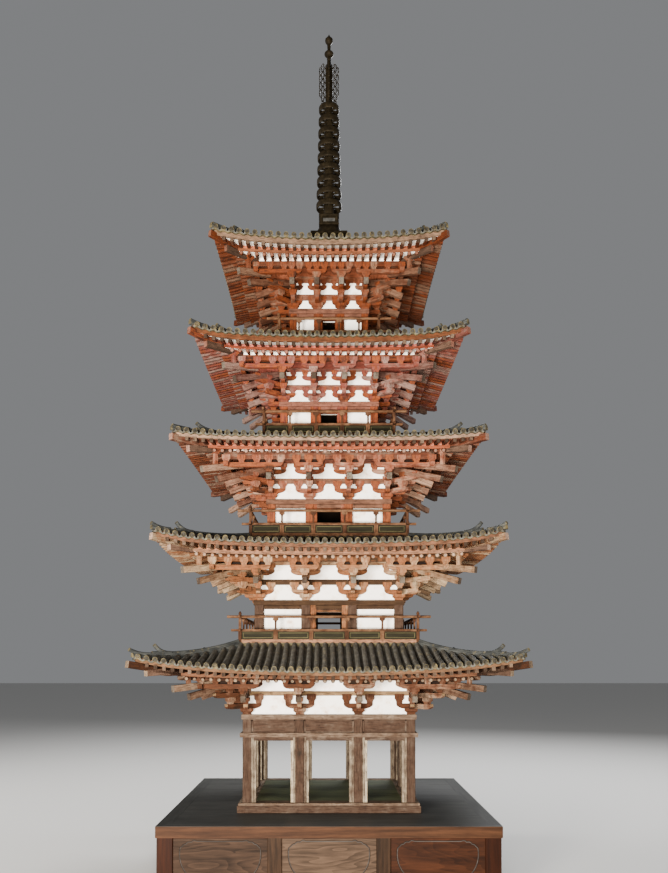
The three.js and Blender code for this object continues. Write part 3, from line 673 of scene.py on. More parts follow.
class Slope:
    """The tiled surface of one roof."""

    def __init__(self, storey, inner, inner_top):
        self.storey, self.inner, self.inner_top = storey, inner, inner_top
        self.outer = storey.eave + TILE_LIP
        self.low = storey.edge + TILE_EDGE

    def share(self, half):
        return (half - self.inner) / (self.outer - self.inner)

    def lift(self, share):
        return max(share, 0.0) ** 2.2

    def height(self, share):
        return self.inner_top - (self.inner_top - self.low) * (share * (1.3 - 0.3 * share))

    def corner(self, share):
        """Half width and height of the hip at a share of the way down."""
        half = self.inner + (self.outer - self.inner) * share
        lift = self.lift(share)
        return half * (1 + self.storey.flare * lift), self.height(share) + self.storey.lift * lift

    def point(self, x, half, dz=0.0):
        """Point of the slope at x on the line that has this half width, raised by dz."""
        storey = self.storey
        share = self.share(half)
        lift = self.lift(share)
        t = min(1.0, abs(x) / half)
        for _ in range(3):
            t = min(1.0, abs(x) / (half * (1 + storey.flare * lift * storey.sweep(t))))
        rise = lift * storey.sweep(t)
        return (x, -half * (1 + storey.flare * rise), self.height(share) + storey.lift * rise + dz)

    def hip_half(self, x):
        """Half width at which the hip passes x."""
        low, high = self.inner, self.outer
        for _ in range(24):
            middle = (low + high) / 2
            if self.corner(self.share(middle))[0] < abs(x):
                low = middle
            else:
                high = middle
        return high


def add_tile_rows(front, slope):
    """Rows of cover tiles with the pans between them, from the hips or the top down to the eave."""
    outer = slope.outer
    count = DISC.sides
    for x in rafter_places(slope.corner(1)[0] - 14):
        rows = []
        for dx, dz in TILE_SECTION:
            start = slope.hip_half(x + dx) if abs(x + dx) > slope.inner else slope.inner
            rows.append([slope.point(x + dx, start + (outer - start) * k / TILE_STEPS, dz)
                         for k in range(TILE_STEPS + 1)])
        grid = np.array(rows)
        sheet(front, grid, ALONG_Y)
        # Rim of the pans below the covers, and the round end tile on the cover
        lower = []
        for dx, _ in TILE_SECTION:
            wave = RIM.wave * math.cos(2 * math.pi * dx / RAFTER_PITCH)
            lower.append(slope.point(x + dx, outer, RIM.low + wave))
        lower = np.array(lower)
        bands = [grid[:, -1], lower + (0, 0.4, RIM.line), lower, lower + (0, RIM.back, 0)]
        sheet(front, np.stack(bands, 1), ALONG_Y, [None, "tile_rims", "tile_rims"])
        x_mid, y_mid, z_mid = slope.point(x, outer)
        profile = ((DISC.radius, DISC.back), (DISC.radius, -DISC.front), (DISC.face, -DISC.front),
                   (DISC.face - DISC.bevel, -DISC.recess))
        loops = [[(x_mid + radius * math.cos(a), y_mid + dy, z_mid + radius * math.sin(a))
                  for a in circle(count)] for radius, dy in profile]
        faces = [(i * count + j, (i + 1) * count + j, (i + 1) * count + (j + 1) % count,
                  i * count + (j + 1) % count) for i in range(3) for j in range(count)]
        faces.append(tuple(range(3 * count, 4 * count)))
        front.add(np.concatenate(loops), faces, ALONG_Y,
                  [None] * count + ["tile_rims"] * count + ["tile_faces"] * (count + 1))


def add_hip_ridge(front, slope):
    """The ridge on the hip to the right, in two lengths that end in raised tips."""
    storey = slope.storey
    side = np.array((DIAGONAL, DIAGONAL, 0))
    out = np.array((DIAGONAL, -DIAGONAL, 0))

    def at(half, z, s=0.0):
        return np.array((half, -half, z)) + side * s

    def ridge_sheet(rows):
        sheet(front, rows, out, "ridge_tiles", closed=True, caps=[None, "tile_rims"])

    (outer_tip, outer_rise), (inner_tip, inner_rise) = storey.tips
    end_share = slope.share(inner_tip - RIDGE.tip_back)
    upper = [slope.corner(s) for s in np.linspace(0, end_share, RIDGE.upper_points)]
    lower = [slope.corner(s) for s in np.linspace(end_share - RIDGE.overlap, 1, RIDGE.lower_points)]
    for path, (shrink, narrow) in ((upper, (1.0, 1.0)), (lower, RIDGE.lower_scale)):
        ridge_sheet([[at(half, z + dz * shrink, s * narrow) for s, dz in RIDGE_SECTION]
                     for half, z in path])
    for (half, _), tip, rise, height in zip((upper[-1], lower[-1]), (inner_tip, outer_tip),
                                            (inner_rise, outer_rise), HORN.heights):
        start_half = half - HORN.start
        start_z = slope.corner(slope.share(start_half))[1] + height
        tip_z = storey.top + rise - HORN.drop
        parts = [k / HORN.steps for k in range(HORN.steps + 1)]
        places = [(start_half + (tip - HORN.back - start_half) * part,
                   start_z + (tip_z - start_z) * part ** HORN.bend) for part in parts]
        rows = []
        for k, (h, base) in enumerate(places):
            before, after = places[max(k - 1, 0)], places[min(k + 1, HORN.steps)]
            run, climb = (after[0] - before[0]) * math.sqrt(2), after[1] - before[1]
            length = math.hypot(run, climb)
            across, upward = -climb / length / math.sqrt(2), run / length
            wide, tall = HORN.wide - HORN.narrower * parts[k], HORN.tall - HORN.lower * parts[k]
            rows.append([at(h + across * tall * math.sin(a), base + upward * tall * math.sin(a),
                            wide * math.cos(a)) for a in circle(HORN.sides)])
        ridge_sheet(rows)


def add_roof(storey, inner, inner_top):
    """Tiled roof of one storey, closed above by a lid that carries the next storey."""
    slope = Slope(storey, inner, inner_top - 4)
    front = Pieces("dark_tiles")
    add_tile_rows(front, slope)
    add_hip_ridge(front, slope)
    ring_beam(front, inner + 2, 4, inner_top - 16, inner_top + 3, 0, "tile_rims")
    lid_top = inner_top - 5
    lid = np.array([(0, 0, lid_top), (-inner, -inner, lid_top), (inner, -inner, lid_top)])
    prism(front, lid - (0, 0, 8), lid, ALONG_X)
    make_sides(storey, "tiles", front, "roof", TILE_SMOOTH)


# Bodies

PLATE = 24
BALCONY = Sizes(base=20.0, panel=57.0, mid=68.0, rail=133.0, thick=13.0, overrun=61.0, mid_overrun=42.0,
                bays=5, line=2.4, margin=16, inset=6)
STRUT = Sizes(foot=(20, 13), neck=(9, 9), cap=13, cap_depth=6.5, cap_foot=0.38, cap_drop=19)
BALCONY_KNOB = ((0, 20), (4, 17), (7.5, 10), (7.5, 6), (4.5, 2), (0, 1))
TIE = Sizes(lintel=337.0, bottom=354.0, top=375.0)
SILL = Sizes(half=432, depth=80, low=34, step=5, top=46, floor=352.0, planks=8, plank_z=25, plank=40)


def add_posts(pieces, storey, z0, z1):
    """The inner posts and the right corner post of one side."""
    for x in (-storey.inner, storey.inner, storey.column):
        upright(pieces, x, -storey.column, z0, z1, storey.post, storey.post, 3)


def add_upper_body(storey):
    """Posts, door frames, ties and column plate of an upper storey."""
    front = Pieces("old_timber" if storey.number == 2 else storey.name("timber"))
    red, pale = storey.name("timber"), storey.name("plate")
    column, inner, post, door = storey.column, storey.inner, storey.post, storey.door
    floor, plate = storey.floor, storey.plate
    under = plate - PLATE
    add_posts(front, storey, floor, under)
    ring_beam(front, column + 14, 12, floor, floor + 10)
    ring_beam(front, column + 13, 11, under - 19, under - 0.5, skin=pale)
    beam_x(front, -inner, inner, column + 12, 10, plate - 57, plate - 43.5)
    ring_beam(front, storey.outer + 5, 30, under, plate, 1.5, pale)
    jamb = inner - post / 2 - door
    for side in (-1, 1):
        upright(front, side * (door + jamb / 2), -(column + 6), floor, under, jamb, 15, 1, red)
    beam_x(front, -door, door, column + 14, 13, plate - 57, plate - 47, 1, red)
    make_sides(storey, "frame", front, "posts")


def add_balcony(storey):
    """Balcony rail: base beam, lined panels, middle rail, struts with flared caps and a top rail."""
    front = Pieces("rail_timber")
    half, floor, bays = storey.balcony, storey.floor, BALCONY.bays
    heights = (BALCONY.base, BALCONY.panel, BALCONY.mid, BALCONY.rail)
    z_base, z_panel, z_mid, cap = (floor + z for z in heights)
    base_skin = storey.name("lower") if storey.number == 2 else None
    ring_beam(front, half + 6.5, 13, floor, z_base, 1.5, base_skin)
    ring_beam(front, half + 2, 5, z_base, z_panel, 0, "olive_panel")
    reach = half + BALCONY.mid_overrun
    beam_x(front, -reach, reach, half + 6, 12, z_panel, z_mid, 1)
    rail_low = cap - BALCONY.thick
    radius = BALCONY.thick / 2
    reach = half + BALCONY.overrun
    z = rail_low + radius
    round_bar(front, (-reach, -half, z), (reach, -half, z), radius, radius, 12)
    spacing = 2 * half / bays
    for i in range(1, bays):
        x = -half + i * spacing
        upright(front, x, -half - 0.5, z_base - 2, z_panel + 1, *STRUT.foot)
        upright(front, x, -half, z_mid - 1, rail_low - 10, *STRUT.neck, 1)
        levels = (rail_low - STRUT.cap_drop, rail_low + 2)
        block(front, Spot(x, -half), 0, 0, STRUT.cap, levels, STRUT.cap_foot, STRUT.cap_depth)
    # Corner post with its knob
    upright(front, half, -half, floor, z_mid + 1, 16, 16, 2)
    upright(front, half, -half, z_mid - 2, rail_low + 16, 13, 13, 2)
    lathe(front, [(r, cap + z) for r, z in BALCONY_KNOB], 12, (half, -half))
    # Fine lines that frame each panel
    low, high = z_base + BALCONY.inset, z_panel - BALCONY.inset
    line, face = BALCONY.line, half + 3
    for i in range(bays):
        x0 = -half + i * spacing + BALCONY.margin
        x1 = x0 + spacing - 2 * BALCONY.margin
        for z0, z1 in ((low, low + line), (high - line, high)):
            beam_x(front, x0, x1, face, 2, z0, z1, 0.3, "yellow_line")
        for x in (x0, x1):
            upright(front, x, -face + 1, low, high, line, 2, 0.3, "yellow_line")
    make_sides(storey, "railing", front, "balcony")


def add_first_storey(storey):
    """Sill and floor, posts with their door frames, tie beams and column plate of the ground storey."""
    column, outer, inner, post = storey.column, storey.outer, storey.inner, storey.post
    sill = Pieces("old_timber")
    ring_beam(sill, SILL.half, SILL.depth, 0, SILL.low, 2)
    ring_beam(sill, SILL.half - SILL.step, SILL.depth - SILL.step, SILL.low - 1, SILL.top, 2,
              "pale_timber")
    base = on_four_sides(sill)
    add_planks(base, SILL.floor, SILL.planks, SILL.plank_z, 0.5, SILL.plank, "floor_boards")
    make_object("ground_sill_beams", base, ["ground_sill"])
    posts = Pieces("old_timber")
    add_posts(posts, storey, SILL.top, TIE.bottom)
    bays = ((-column, -inner), (-inner, inner), (inner, column))
    for left, right in bays:
        a, b = left + post / 2, right - post / 2
        for x, turn in ((a, 1), (b, -1)):
            worn = (left, turn) == (inner, 1) or (right, turn) == (-inner, -1)
            upright(posts, x + turn * 5.5, -column - 3, SILL.top, TIE.bottom, 11, 29, 1, "worn_jamb")
            upright(posts, x + turn * 16.5, -column, SILL.top, TIE.bottom, 12, 27, 1,
                    "bleached_timber" if worn else "worn_jamb")
        beam_x(posts, a, b, column + 14, 28, TIE.lintel, TIE.bottom, 1.5)
    make_object("ground_storey_posts", on_four_sides(posts),
                [f"{name}_posts" for name in ("front", "right", "back", "left")])
    ties = Pieces("old_timber")
    plate = storey.plate
    under = plate - PLATE
    ring_beam(ties, outer + 12, 56, TIE.bottom, TIE.top, 2, "pale_timber")
    ring_beam(ties, column + 10, 22, TIE.top, under, 0)
    for left, right in bays:
        a, b = left + post / 2, right - post / 2
        beam_x(ties, a, b, column + 14, 6, under - 8, under, 1)
        beam_x(ties, a, b, column + 14, 6, TIE.top, TIE.top + 6, 1)
        for x in (a + 4, b - 4):
            upright(ties, x, -column - 11, TIE.top, under, 8, 6, 1)
    add_posts(ties, storey, TIE.top, under)
    ring_beam(ties, outer + 5, 50, under, plate, 1.5, "pale_timber")
    make_object("ground_storey_ties", on_four_sides(ties), ["first_storey_tie_beams"])


def add_planks(pieces, half, count, z, gap, thick, skin=None):
    """Planks side by side that fill a square."""
    width = 2 * half / count
    for k in range(count):
        y = -half + (k + 0.5) * width
        bar(pieces, (-half, y, z), (half, y, z), width - gap, thick, 0.6, skin)


# Stand

STAND = Sizes(half=753.0, board=50.0, lip=5.0, corner=70.0, mid=62.0, rail=58.0, setback=10.0,
              border=62.0, face=0.6, planks=7, plank_z=-10, plank=19.2)
CARVED_SHOULDER = ((0.57, 0), (0.71, -4), (0.84, -12), (0.96, -30))
CARVED_HALF, CARVED_TOP, CARVED_BOTTOM, CARVED_DROP, CARVED_POWER = 176, 17, 196, 55, 0.62
CARVED_BANDS = ((-1.6, 1.6, 1.4, "carved_line"), (1.6, 4.2, 0.5, "carved_groove"))


def carved_outline(top, bottom):
    """Half of the carved panel line, from the top middle round to the bottom middle."""
    half, shoulder = CARVED_HALF, top - CARVED_DROP
    points = [(0, top)]
    for (x0, z0), (x1, z1) in zip(CARVED_SHOULDER, CARVED_SHOULDER[1:]):
        for part in np.linspace(0, 1, 5)[:-1]:
            bulge = 5.0 * math.sin(math.pi * part)
            x = half * (x0 + (x1 - x0) * part) + bulge * 0.4
            points.append((x, top + z0 + (z1 - z0) * part + bulge))
    for angle in np.radians(np.linspace(-12, 90, 12)):
        points.append((half * max(0.0, math.cos(angle)) ** CARVED_POWER,
                       shoulder - (shoulder - bottom) * math.sin(angle)))
    return points


def add_stand():
    """Top board with a mitred border, frame of posts and rails, and panels with a carved line."""
    top_z = -STAND.board
    floor = -STAND_TOP / METRE
    outer, inner = STAND.half, STAND.half - STAND.border
    board = Pieces("stand_top")
    ring = np.array([(-outer, -outer, 0), (outer, -outer, 0), (inner, -inner, 0), (-inner, -inner, 0)])
    for z_low, z_high, skin in ((top_z, -STAND.face, "stand_edge"), (-STAND.face, 0.0, None)):
        prism(board, ring + (0, 0, z_low), ring + (0, 0, z_high), ALONG_X, skin)
    whole = on_four_sides(board)
    add_planks(whole, inner, STAND.planks, STAND.plank_z, 0.4, STAND.plank)
    make_object("stand_board", whole, ["stand_top_board"])

    half, corner = STAND.half - STAND.lip, STAND.corner
    bay = (2 * half - 2 * corner - 2 * STAND.mid) / 3
    mid = bay / 2 + STAND.mid / 2
    timbers = Pieces("stand_corner")
    for x in (-mid, mid):
        upright(timbers, x, -half + 9, floor, top_z, STAND.mid, 18, 2, "stand_posts")
    centre = half - corner / 2
    upright(timbers, centre, -centre, floor, top_z, corner, corner, 2)
    beam_x(timbers, -half + corner, half - corner, half - 1, 26, floor, floor + STAND.rail, 2)
    beam_x(timbers, -half + corner, half - corner, half - 6, 18, top_z - 4, top_z, 1)
    make_object("stand_timbers", on_four_sides(timbers), ["stand_frame"])

    panels = Pieces("stand_panel_left")
    face = half - STAND.setback
    outline = carved_outline(top_z - CARVED_TOP, top_z - CARVED_BOTTOM)
    path = np.array(outline + [(-a, z) for a, z in outline[-2:0:-1]])
    direction = np.roll(path, -1, 0) - np.roll(path, 1, 0)
    normal = np.stack([-direction[:, 1], direction[:, 0]], 1)
    normal /= np.linalg.norm(direction, axis=1)[:, None] + 1e-9
    closed_path = list(zip(path, normal)) + [(path[0], normal[0])]
    for x, place in ((-bay - STAND.mid, "left"), (0, "middle"), (bay + STAND.mid, "right")):
        beam_x(panels, x - bay / 2 - 2, x + bay / 2 + 2, face, 12, floor + STAND.rail - 4, top_z, 0.5,
               f"stand_panel_{place}")
        for low, high, rise, skin in CARVED_BANDS:
            section = ((low, 0), (low + 0.5, rise), (high - 0.5, rise), (high, 0))
            rows = [[(x + a[0] + n[0] * w, -face - d, a[1] + n[1] * w) for w, d in section]
                    for a, n in closed_path]
            sheet(panels, rows, ALONG_X, skin)
    make_object("stand_panel_boards", on_four_sides(panels),
                [f"stand_{side}_panels" for side in ("front", "right", "back", "left")])


# Finial

FINIAL = Sizes(box_top=2924, box_half=95, box_foot=78, bowl=72, bowl_rise=76, bowl_top=2978,
               collar_top=3033, collar=53, mast_low=28, mast_high=19, ring_first=3093, ring_pitch=64.2,
               rings=9, ring_low=67, ring_high=53, band=30, wall=8, segments=44, spokes=8,
               flame_low=3630, flame_top=3868, flame_reach=54, ball=3904, ball_radius=24, jewel=3976,
               jewel_radius=21, neck=10, tip=4010)
FLAME = Sizes(columns=4, rows=12, first=16, spacing=10.8, pitch=19.4, swing=5.0, stagger=5, belly=27,
              half_width=2.9, half_thick=2.4)


def make_bronze(name, pieces, node):
    make_object(f"finial_{name}", pieces, [f"finial_{node}"])


def make_turned(name, profile, segments, node):
    """A bronze that is one turned body."""
    body = Pieces("bronze_patina")
    lathe(body, profile, segments)
    make_bronze(name, body, node)


def ring_band(pieces, radius, z):
    """An upright band round the mast with rounded edges, its middle at z."""
    z0, z1, inside = z - FINIAL.band / 2, z + FINIAL.band / 2, radius - FINIAL.wall
    section = [(radius - 3, z1), (radius - 0.8, z1 - 3), (radius, z1 - 8), (radius, z), (radius, z0 + 8),
               (radius - 0.8, z0 + 3), (radius - 3, z0), (inside, z0 + 2), (inside, z1 - 2)]
    n, m = FINIAL.segments, len(section)
    points = [(r * math.cos(a), r * math.sin(a), z) for a in circle(n) for r, z in section]
    faces = [(i * m + j, i * m + (j + 1) % m, ((i + 1) % n) * m + (j + 1) % m, ((i + 1) % n) * m + j)
             for i in range(n) for j in range(m)]
    pieces.add(points, faces, UPRIGHT)


def add_finial():
    """Base box, bowl, square collar, mast, nine rings, openwork flame, ball and jewel."""
    f = FINIAL
    box = Pieces("bronze_patina")
    foot, half, top = f.box_foot, f.box_half, f.box_top
    ring_beam(box, foot - 1, foot - 2, FINIAL_BASE, top - 17, 1)
    ring_beam(box, foot + 8, 14, top - 26, top - 14, 1)
    ring_beam(box, half - 0.5, half - 1.5, top - 15, top, 2)
    make_bronze("box", on_four_sides(box), "base_box")

    shoulder = math.asin((f.bowl_top - top) / f.bowl_rise)
    dome = [(f.bowl * math.cos(a) - 0.5, top + f.bowl_rise * math.sin(a))
            for a in np.linspace(shoulder, 0, 12)]
    make_turned("upturned_bowl", [(0, f.bowl_top), *dome, (0, top)], 40, "bowl")

    collar = Pieces("bronze_patina")
    r, z0, z1 = f.collar, f.bowl_top, f.collar_top
    ring_beam(collar, r - 0.5, r - 1.5, z1 - 8, z1, 1.5)
    ring_beam(collar, r - 4, 20, z1 - 13, z1 - 8, 0)
    ring_beam(collar, r - 0.5, r - 1.5, z0, z0 + 8, 1.5)
    ring_beam(collar, r - 4, 20, z0 + 8, z0 + 13, 0)
    ring_beam(collar, r - 10, 20, z0 + 8, z1 - 8, 0)
    for x in (-r + 14, r - 14):
        upright(collar, x, -(r - 9), z0 + 12, z1 - 12, 9, 8, 1)
    beam_x(collar, -r + 22, r - 22, r - 9, 3, z0 + 19, z1 - 19, 1, "bronze_panel")
    make_bronze("square_collar", on_four_sides(collar), "collar_box")

    make_turned("pole", [(0, f.flame_top), (10, f.flame_top), (f.mast_high, f.flame_low),
                         (f.mast_low, f.collar_top), (0, f.collar_top)], 32, "mast")

    for i in range(f.rings):
        ring = Pieces("bronze_patina")
        radius = f.ring_low + (f.ring_high - f.ring_low) * i / (f.rings - 1)
        z = f.ring_first + i * f.ring_pitch
        ring_band(ring, radius, z)
        near, far = f.mast_high - 2, radius - f.wall + 2
        for k in range(f.spokes):
            a = 2 * math.pi * (k + 0.5) / f.spokes
            x, y = math.cos(a), math.sin(a)
            bar(ring, (near * x, near * y, z), (far * x, far * y, z), 6, 9)
        make_bronze(f"wheel_{i + 1}", ring, f"ring_{i + 1}")

    add_flame()
    z, r = f.ball, f.ball_radius
    neck = f.jewel - f.jewel_radius
    belly = [(max(8, r * math.sin(a)), z + 17 * math.cos(a))
             for a in np.linspace(0.4, math.pi - 0.35, 10)]
    make_turned("dragon_ball", [(0, neck), (f.neck, neck), (f.neck - 2, z + 22), *belly,
                                (11, f.flame_top + 12), (10, f.flame_top), (0, f.flame_top)], 28, "ball")
    z, r = f.jewel, f.jewel_radius
    make_turned("wish_jewel", [(0, f.tip), (2.5, f.tip - 5), (6, z + 22), (12, z + 15), (r - 2, z + 8),
                               (r - 0.3, z), (r - 2, z - 9), (r - 7, z - 16), (f.neck, neck),
                               (0, neck)], 28, "jewel")


def add_flame():
    """Openwork water-flame plates: rows of short curling tongues on four sides of the mast."""
    plate = Pieces("bronze_patina")
    bottom, top, reach = FINIAL.flame_low, FINIAL.flame_top, FINIAL.flame_reach
    pitch, swing, thick, belly = FLAME.pitch, FLAME.swing, FLAME.half_thick, FLAME.belly
    for column in range(FLAME.columns):
        x_mid = FLAME.first + FLAME.spacing * column
        for row in range(FLAME.rows):
            low = bottom + 2 + pitch * row + (column % 2) * FLAME.stagger
            part = (low - bottom) / (top - bottom)
            limit = belly + (reach - belly) * math.sin(math.pi * min(1.0, 0.14 + part * 0.8)) ** 0.5
            if low + pitch + 4 > top or x_mid + swing > limit + 4:
                continue
            lean = 1 if (row + column) % 2 else -1
            rows = []
            for k in range(6):
                p = k / 5
                curl = 2.6 * lean * math.sin(2 * math.pi * p)
                x = min(reach - 3, x_mid + lean * swing * (2 * p - 1) + curl)
                z = low + (pitch + 4) * p
                w = FLAME.half_width * (1 - 0.35 * abs(2 * p - 1))
                rows.append([(x + a * w, b * thick, z) for a, b in SQUARE])
            sheet(plate, rows[::-1], UPRIGHT, closed=True)
    upright(plate, 14, 0, bottom + 1, top - 24, 5, 5, 0.5)
    whole = on_four_sides(plate)
    lathe(whole, [(0, bottom + 14), (23.5, bottom + 13), (24.5, bottom), (0, bottom)], 24)
    make_bronze("water_flame", whole, "flame")


# Materials

class Shader:
    """A small helper that adds linked nodes to one material."""

    def __init__(self, name):
        self.material = bpy.data.materials.new(name)
        self.material.use_nodes = True
        self.tree = self.material.node_tree
        self.surface = self.tree.nodes["Principled BSDF"]
        self.surface.inputs["Specular IOR Level"].default_value = 0.06
        MATERIALS[name] = self.material

    def feed(self, socket, value):
        if isinstance(value, bpy.types.NodeSocket):
            self.tree.links.new(value, socket)
            return
        colour = isinstance(value, tuple) and len(socket.default_value) == 4
        socket.default_value = (*value, 1) if colour else value

    def node(self, kind, inputs=None, **properties):
        made = self.tree.nodes.new(kind)
        for key, value in properties.items():
            setattr(made, key, value)
        for key, value in (inputs or {}).items():
            self.feed(made.inputs[key], value)
        return made

    def set(self, **inputs):
        for key, value in inputs.items():
            self.feed(self.surface.inputs[key.replace("_", " ")], value)

    def noise(self, vector, scale, detail=3.0, roughness=0.55):
        inputs = {"Vector": vector, "Scale": scale, "Detail": detail, "Roughness": roughness}
        return self.node("ShaderNodeTexNoise", inputs).outputs["Fac"]

    def spots(self, scale, detail=3.0, roughness=0.55):
        """Noise in the object's own space."""
        place = self.node("ShaderNodeTexCoord").outputs["Object"]
        return self.noise(place, scale, detail, roughness)

    def streaks(self, stretch, detail, roughness):
        """Noise along each timber's own grain."""
        grain = self.node("ShaderNodeAttribute", attribute_name="grain").outputs["Vector"]
        place = self.node("ShaderNodeVectorMath", {0: grain, 1: stretch}, operation="MULTIPLY").outputs[0]
        return self.noise(place, 1.0, detail, roughness)

    def math(self, operation, a, b=0.0, clamp=False):
        return self.node("ShaderNodeMath", {0: a, 1: b}, operation=operation, use_clamp=clamp).outputs[0]

    def blend(self, a, b, share):
        """A share of a and the rest of b."""
        return self.math("ADD", self.math("MULTIPLY", a, share), self.math("MULTIPLY", b, 1 - share))

    def shift(self, value, by, amount, clamp=False):
        """A value moved up and down by another about its middle."""
        move = self.math("MULTIPLY", self.math("SUBTRACT", by, 0.5), amount)
        return self.math("ADD", value, move, clamp)

    def tinted(self, value, amount, clamp=False):
        """A value moved up or down for each solid by its own tint."""
        tint = self.node("ShaderNodeAttribute", attribute_name="tint").outputs["Fac"]
        return self.shift(value, tint, amount, clamp)

    def ramp(self, factor, stops):
        made = self.node("ShaderNodeValToRGB", {"Fac": factor})
        elements = made.color_ramp.elements
        while len(elements) < len(stops):
            elements.new(0.5)
        for element, (place, colour) in zip(elements, stops):
            element.position = place
            element.color = (*colour, 1)
        return made.outputs["Color"]

    def stain(self, colour, factor, low, high, strength, over):
        """Another colour over the first, growing to strength as factor goes from low to high."""
        mask = self.math("DIVIDE", self.math("SUBTRACT", factor, low), high - low, clamp=True)
        inputs = {0: self.math("MULTIPLY", mask, strength), 6: colour, 7: over}
        return self.node("ShaderNodeMix", inputs, data_type="RGBA").outputs[2]

    def finish(self, colour, roughness, height, strength, distance):
        """Colour, roughness and small relief of the surface."""
        bump = self.node("ShaderNodeBump", {"Height": height, "Strength": strength, "Distance": distance})
        self.set(Base_Color=colour, Roughness=roughness, Normal=bump.outputs["Normal"])


CRACK = (0.012, 0.006, 0.004)


def scaled(values, factor):
    return tuple(value * factor for value in values)


def painted_wood(name, stops, tint=0.34):
    """Old painted timber: bare wood, faded paint and paint in patches and along the grain."""
    shader = Shader(name)
    streak = shader.streaks((9, 90, 90), 4, 0.62)
    fine = shader.streaks((22, 380, 380), 3, 0.6)
    wear = shader.tinted(shader.blend(shader.spots(24.0, 5, 0.65), streak, 0.6), tint, clamp=True)
    colour = shader.stain(shader.ramp(wear, stops), fine, 0.5, 0.64, 0.75, CRACK)
    colour = shader.stain(colour, shader.spots(60.0, 4, 0.7), 0.55, 0.72, 0.65, CRACK)
    shader.finish(colour, 0.8, shader.blend(fine, streak, 0.6), 0.6, 0.0014)


def chalk_white():
    """White chalk paint on boards, stained in patches."""
    shader = Shader("chalk_white")
    stops = [(0.5, (0.9, 0.85, 0.78)), (0.61, (0.8, 0.68, 0.57)), (0.74, (0.4, 0.2, 0.12))]
    colour = shader.ramp(shader.spots(18.0, 5, 0.65), stops)
    shader.finish(colour, 0.92, shader.spots(160.0), 0.25, 0.0006)


def tile_wood(name, base, pale, ochre, dust=0.56, dark=0.45):
    """Carved tiles with worn dark paint, and ochre dust where a noise lies above the level dust."""
    shader = Shader(name)
    run = shader.streaks((16, 70, 70), 4, 0.6)
    colour = shader.ramp(run, [(0.32, scaled(base, dark)), (0.5, base), (0.7, pale)])
    colour = shader.stain(colour, shader.spots(34.0, 4, 0.62), dust, dust + 0.14, 0.85, ochre)
    shader.finish(colour, 0.72, run, 0.4, 0.0015)


def plain_wood(name, mid, roughness=0.55, stretch=(4, 60, 60), worn=0.3, rings=0.0, contrast=1.0):
    """Bare or stained boards with long grain."""
    shader = Shader(name)
    fine = shader.streaks(scaled(stretch, 5), 3, 0.6)
    blend = shader.blend(shader.streaks(stretch, 5, 0.62), fine, 0.75)
    if rings:
        bands = shader.math("FRACT", shader.math("MULTIPLY", shader.streaks((1.6, 9, 9), 2, 0.5), 16.0))
        blend = shader.shift(blend, bands, rings)
    blend = shader.tinted(blend, 0.14)
    stops = [(0.34, scaled(mid, 0.45 ** contrast)), (0.5, mid), (0.68, scaled(mid, 1.8 ** contrast))]
    colour = shader.ramp(blend, stops)
    colour = shader.stain(colour, shader.spots(7.0, 4, 0.6), 0.45, 0.7, worn, scaled(mid, 0.5))
    shader.finish(colour, roughness, blend, 0.45, 0.0015)


def bronze(name, mid):
    """Dull bronze with darker and paler patches."""
    shader = Shader(name)
    stops = [(0.35, scaled(mid, 0.5)), (0.55, mid), (0.75, scaled(mid, 1.9))]
    colour = shader.ramp(shader.spots(45.0, 5, 0.65), stops)
    shader.finish(colour, 0.6, shader.spots(260.0), 0.3, 0.0008)
    shader.set(Metallic=0.45)


# Colours of each storey: bare wood, faded paint, paint, fresh paint and stain, then the column
# plate, the base rafters' ends, the eave beam, the lower eave beam and the ceiling under the eaves,
# made paler as painted light where it lies in shade, and how much darker the rafters are painted
# than the other timber, as painted shade on the eaves' undersides
PAINTS = [
    # The first storey's timber is its own brown, painted darker in part as painted shade under its low
    # eaves
    dict(timber=((0.162, 0.105, 0.0675), (0.096, 0.044, 0.025), (0.048, 0.0176, 0.0085),
                 (0.054, 0.0193, 0.0085), (0.018, 0.0088, 0.005)),
         plate=(0.158, 0.0955, 0.0473), ends=(0.14, 0.098, 0.063), beam=(0.078, 0.039, 0.0198),
         lower=(0.072, 0.03, 0.015), ceiling=(0.18, 0.084, 0.048), rafters=0.5),
    dict(timber=((0.26, 0.18, 0.108), (0.209, 0.107, 0.0554), (0.159, 0.0667, 0.0294),
                 (0.159, 0.0568, 0.0222), (0.0433, 0.0234, 0.0111)),
         plate=(0.035, 0.0185, 0.0094), ends=(0.208, 0.136, 0.096), beam=(0.128, 0.0562, 0.03),
         lower=(0.164, 0.0796, 0.0446), ceiling=(0.287, 0.128, 0.0701), rafters=0.6),
    dict(timber=((0.225, 0.135, 0.0893), (0.182, 0.0708, 0.0418), (0.124, 0.0341, 0.0167),
                 (0.16, 0.045, 0.0167), (0.0364, 0.0141, 0.00781)),
         plate=(0.114, 0.0524, 0.0314), ends=(0.188, 0.105, 0.075), beam=(0.157, 0.096, 0.0627),
         lower=(0.15, 0.0374, 0.0162), ceiling=(0.252, 0.078, 0.045), rafters=0.45),
    dict(timber=((0.174, 0.107, 0.0853), (0.142, 0.0517, 0.0375), (0.116, 0.0291, 0.0205),
                 (0.174, 0.042, 0.0136), (0.0451, 0.0155, 0.0102)),
         plate=(0.16, 0.0617, 0.0399), ends=(0.162, 0.0675, 0.0439), beam=(0.0816, 0.0276, 0.0108),
         lower=(0.157, 0.0322, 0.014), ceiling=(0.3, 0.0768, 0.054), rafters=0.6),
    dict(timber=((0.127, 0.0685, 0.0418), (0.11, 0.0368, 0.0179), (0.0864, 0.0221, 0.00835),
                 (0.115, 0.0255, 0.00668), (0.0288, 0.00979, 0.00501)),
         plate=(0.109, 0.0449, 0.0276), ends=(0.122, 0.0506, 0.0304), beam=(0.128, 0.077, 0.048),
         lower=(0.127, 0.0442, 0.0206), ceiling=(0.252, 0.0728, 0.0336), rafters=0.6),
]
TIMBER_STOPS = (0.27, 0.4, 0.5, 0.6, 0.74)
